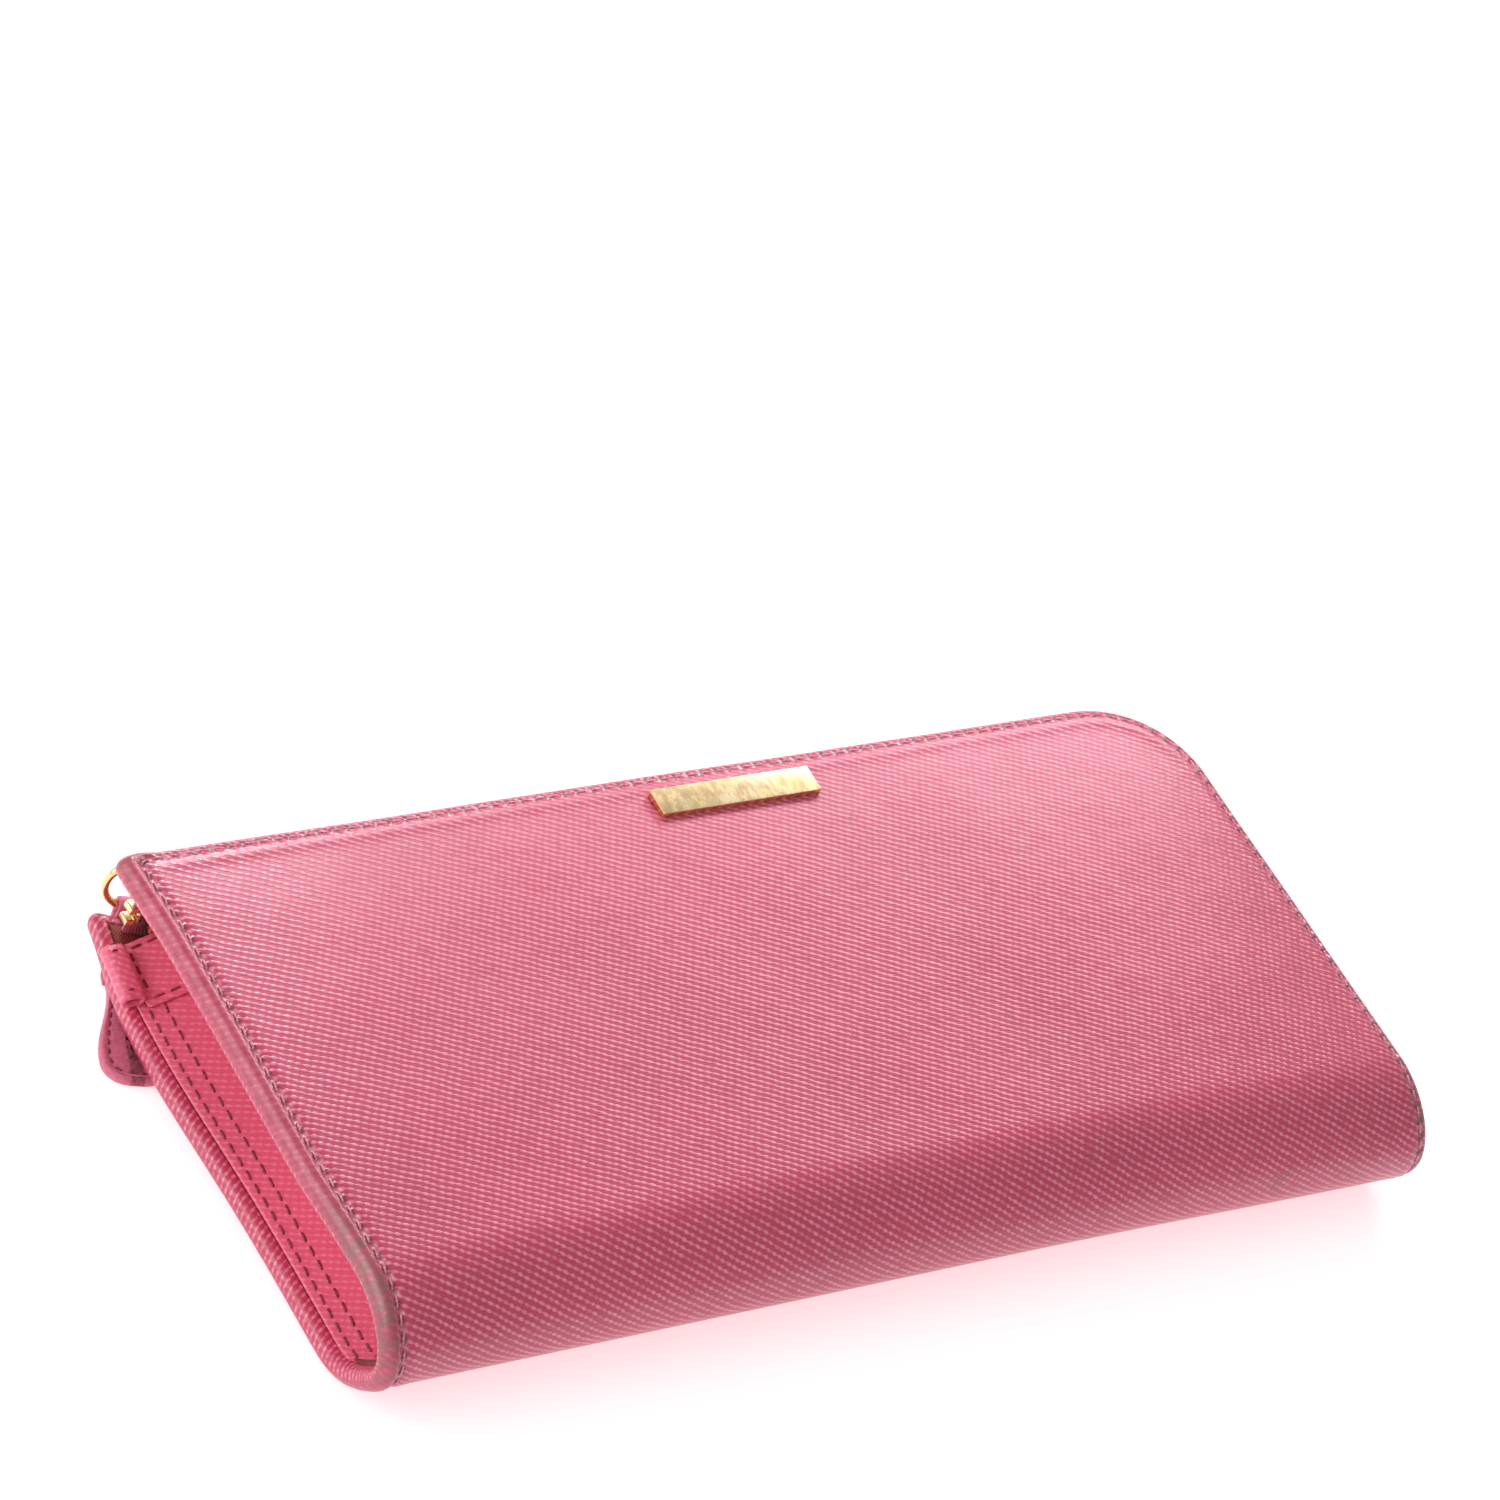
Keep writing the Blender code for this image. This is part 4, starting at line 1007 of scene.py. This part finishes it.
def strap_loop():
    """The stitched leather loop for a wrist strap, flat beside the rear edge at the left end."""
    (low_x, low_w), (high_x, high_w) = LOOP_LOW + LOOP_WALL / 2, LOOP_HIGH - LOOP_WALL / 2
    line = np.concatenate([arc_points(centre, LOOP_RADIUS, start, start + 90, 6) for centre, start in (
        ((low_x + LOOP_RADIUS, low_w + LOOP_RADIUS), 180), ((high_x - LOOP_RADIUS, low_w + LOOP_RADIUS), 270),
        ((high_x - LOOP_RADIUS, high_w - LOOP_RADIUS), 0), ((low_x + LOOP_RADIUS, high_w - LOOP_RADIUS), 90))])
    ahead = unit(np.roll(line, -1, 0) - np.roll(line, 1, 0))
    out = np.stack([ahead[:, 1], -ahead[:, 0]], 1)
    band = [(LOOP_START + 0.0003, -1), (LOOP_START, -0.5), (LOOP_START, 0.5), (LOOP_START + 0.0003, 1)]
    band += [(y, 1) for y in np.linspace(LOOP_START + 0.0012, LOOP_END - 0.0012, 8)]
    band += [(LOOP_END - 0.0003, 1), (LOOP_END, 0.5), (LOOP_END, -0.5), (LOOP_END - 0.0003, -1)]
    rings = [[loop_place(x + ox * LOOP_WALL / 2 * d, y, w + ow * LOOP_WALL / 2 * d) for y, d in band]
             for (x, w), (ox, ow) in zip(line, out)]
    loop = make_object("wrist_loop", rings, tube_faces(len(rings), len(band), closed=True), GUSSET)
    settle(loop, "rear_shell", "inner_leather", "strap_loop")
    top = line[line[:, 1] > high_w - 0.0002]
    top = top[np.argsort(top[:, 0])]
    rows = [(np.array([loop_place(x, y, w + LOOP_WALL / 2) for x, w in top]), np.tile(UP, (len(top), 1)))
            for y in (LOOP_START + 0.0013, LOOP_END - 0.0013)]
    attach(stitches("wrist_loop_stitches", rows, **LOOP_STITCH), "rear_shell")


# ---- the coin pocket ----
COIN_OUT, COIN_PLY, COIN_ZIP_DROP = 0.0028, 0.0006, 0.0013
COIN_TOOTH_STEP, COIN_TOOTH_SIZE = 0.00065, 0.62


def coin_pocket():
    """The centre pocket: two walls with their tapes and teeth, its folds, and its slider and puller."""
    left, right, low, top = COIN
    for prefix, side in (("front", 1), ("rear", -1)):
        surface = level(MID + side * COIN_OUT, side)
        wall = leaf(f"coin_{prefix}_panel", surface, COIN, (0.002, 0.002, 0.0015, 0.0015), 0.0, COIN_PLY, LINING)
        settle(wall, "coin_pocket", "lining", f"coin_{prefix}_wall")
        line = np.stack([np.linspace(left + 0.002, right - 0.002, 300), np.full(300, top - 0.0016)], 1)
        rows = [on_surface(surface, line, 0.0)]
        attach(stitches(f"coin_{prefix}_stitches", rows, **SLOT_STITCH), "coin_pocket")
        from_cad(f"coin_{prefix}_tape", f"coin_{prefix}_ribbon", TAPE, "zip_tape", "coin_pocket", 0.0001)
        places = np.arange(left + 0.0045, right - 0.0042, COIN_TOOTH_STEP)
        at = np.stack([places, np.full(len(places), top - COIN_ZIP_DROP)], 1)
        teeth = teeth_row(f"coin_{prefix}_tooth_row", at, np.tile((0.0, 1.0), (len(at), 1)), side, 0.0006,
                          COIN_TOOTH_SIZE)
        settle(teeth, "coin_pocket", "gold", f"coin_{prefix}_teeth")
    for node in ("coin_bottom_fold", "coin_left_gusset", "coin_right_gusset"):
        from_cad(node, node + "_cloth", LINING, "lining", "coin_pocket", 0.0003)
    slider("coin_zip_body", "coin_slider", (left + 0.012, top - COIN_ZIP_DROP, MID), **COIN_SLIDER)
    from_cad("coin_pull", "coin_puller", GOLD, "gold", "coin_pull", 0.00018)


def ornament():
    """A plain gold bar on two prongs, raised with the leather under it."""
    low, high = (np.array(corner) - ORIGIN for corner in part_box("ornament_bar"))
    middle = (low + high) / 2
    stands_out = float(rise(middle[0], FRONT_START + middle[1] - FOLD_Y))
    from_cad("ornament_bar", "ornament", GOLD, "gold", "front_cover", 0.00045, 4, stands_out)


# ---- floor, light and camera ----
def floor():
    """A plain pale floor with a soft glow of its own, like a lit table."""
    mesh = bpy.data.meshes.new("floor")
    mesh.from_pydata([(-4, -4, 0), (4, -4, 0), (4, 4, 0), (-4, 4, 0)], [], [(0, 1, 2, 3)])
    look = Look("floor", specular=0.1)
    look.shader.inputs["Emission Color"].default_value = (1, 0.86, 0.86, 1)
    look.shader.inputs["Emission Strength"].default_value = 0.61
    tone = look.mix(look.ramp(look.noise(3), 0.3, 0.7), (0.74, 0.91, 0.91), (0.77, 0.94, 0.94))
    mesh.materials.append(look.finish(tone, look.ramp(look.noise(40), 0.3, 0.7, 0.85, 0.95)))
    made = bpy.data.objects.new("floor", mesh)
    bpy.context.scene.collection.objects.link(made)


def area_light(name, at, towards, size, radiance, colour=(1, 1, 1)):
    """A rectangular softbox of a given size and brightness."""
    light = bpy.data.lights.new(name, "AREA")
    light.shape = "RECTANGLE"
    light.size, light.size_y = size
    light.energy, light.color = radiance * math.pi * size[0] * size[1], colour
    made = bpy.data.objects.new(name, light)
    made.location = at
    made.rotation_euler = (Vector(towards) - Vector(at)).to_track_quat("-Z", "Y").to_euler()
    bpy.context.scene.collection.objects.link(made)


def light_up():
    """Even studio light, two low strips behind the wallet for its sheen, and a soft fill from the left."""
    backdrop = bpy.data.worlds.new("studio")
    backdrop.use_nodes = True
    glow = backdrop.node_tree.nodes["Background"].inputs
    glow["Color"].default_value, glow["Strength"].default_value = (1, 1, 1, 1), 0.50
    bpy.context.scene.world = backdrop
    area_light("sheen_left", (0.068, 0.328, 0.245), (-0.04, 0.02, 0.02), (0.16, 0.12), 16.5, (1.0, 0.96, 1.0))
    area_light("sheen_right", (0.370, 0.32, 0.235), (0.06, 0.02, 0.02), (0.20, 0.17), 6.5, (1.0, 0.96, 1.0))
    area_light("left_fill", (-0.85, 0.15, 0.40), (0, 0, 0.01), (0.9, 0.5), 3.0)
    bpy.context.scene.view_settings.view_transform = "Standard"


CAMERA_AIM = (0.02411, 0.04955, 0.0200)
CAMERA_AZIMUTH, CAMERA_ELEVATION, CAMERA_ROLL = 47.228, 38.3925, 25.222      # degrees
CAMERA_DISTANCE, CAMERA_LENS = 1.02476, 156.03


def camera():
    azimuth, elevation = math.radians(CAMERA_AZIMUTH), math.radians(CAMERA_ELEVATION)
    ahead = Vector((math.sin(azimuth) * math.cos(elevation), math.cos(azimuth) * math.cos(elevation),
                    -math.sin(elevation)))
    lens = bpy.data.cameras.new("camera")
    lens.lens, lens.sensor_width, lens.clip_end = CAMERA_LENS, 36, 20
    made = bpy.data.objects.new("camera", lens)
    made.location = Vector(CAMERA_AIM) - ahead * CAMERA_DISTANCE
    turn = ahead.to_track_quat("-Z", "Y") @ Matrix.Rotation(math.radians(CAMERA_ROLL), 3, "Z").to_quaternion()
    made.rotation_euler = turn.to_euler()
    bpy.context.scene.collection.objects.link(made)
    bpy.context.scene.camera = made


outer_skin()
inner_lining()
panel_pieces("rear", "rear_shell")
panel_pieces("front", "front_cover")
main_zip()
slider("slider", "zip_slider", (LEFT + 0.0105, FRONT - ZIP_INSET, MID), **MAIN_SLIDER)
ring()
pull_tab()
tab_strap()
gusset()
strap_loop()
coin_pocket()
ornament()
floor()
light_up()
camera()
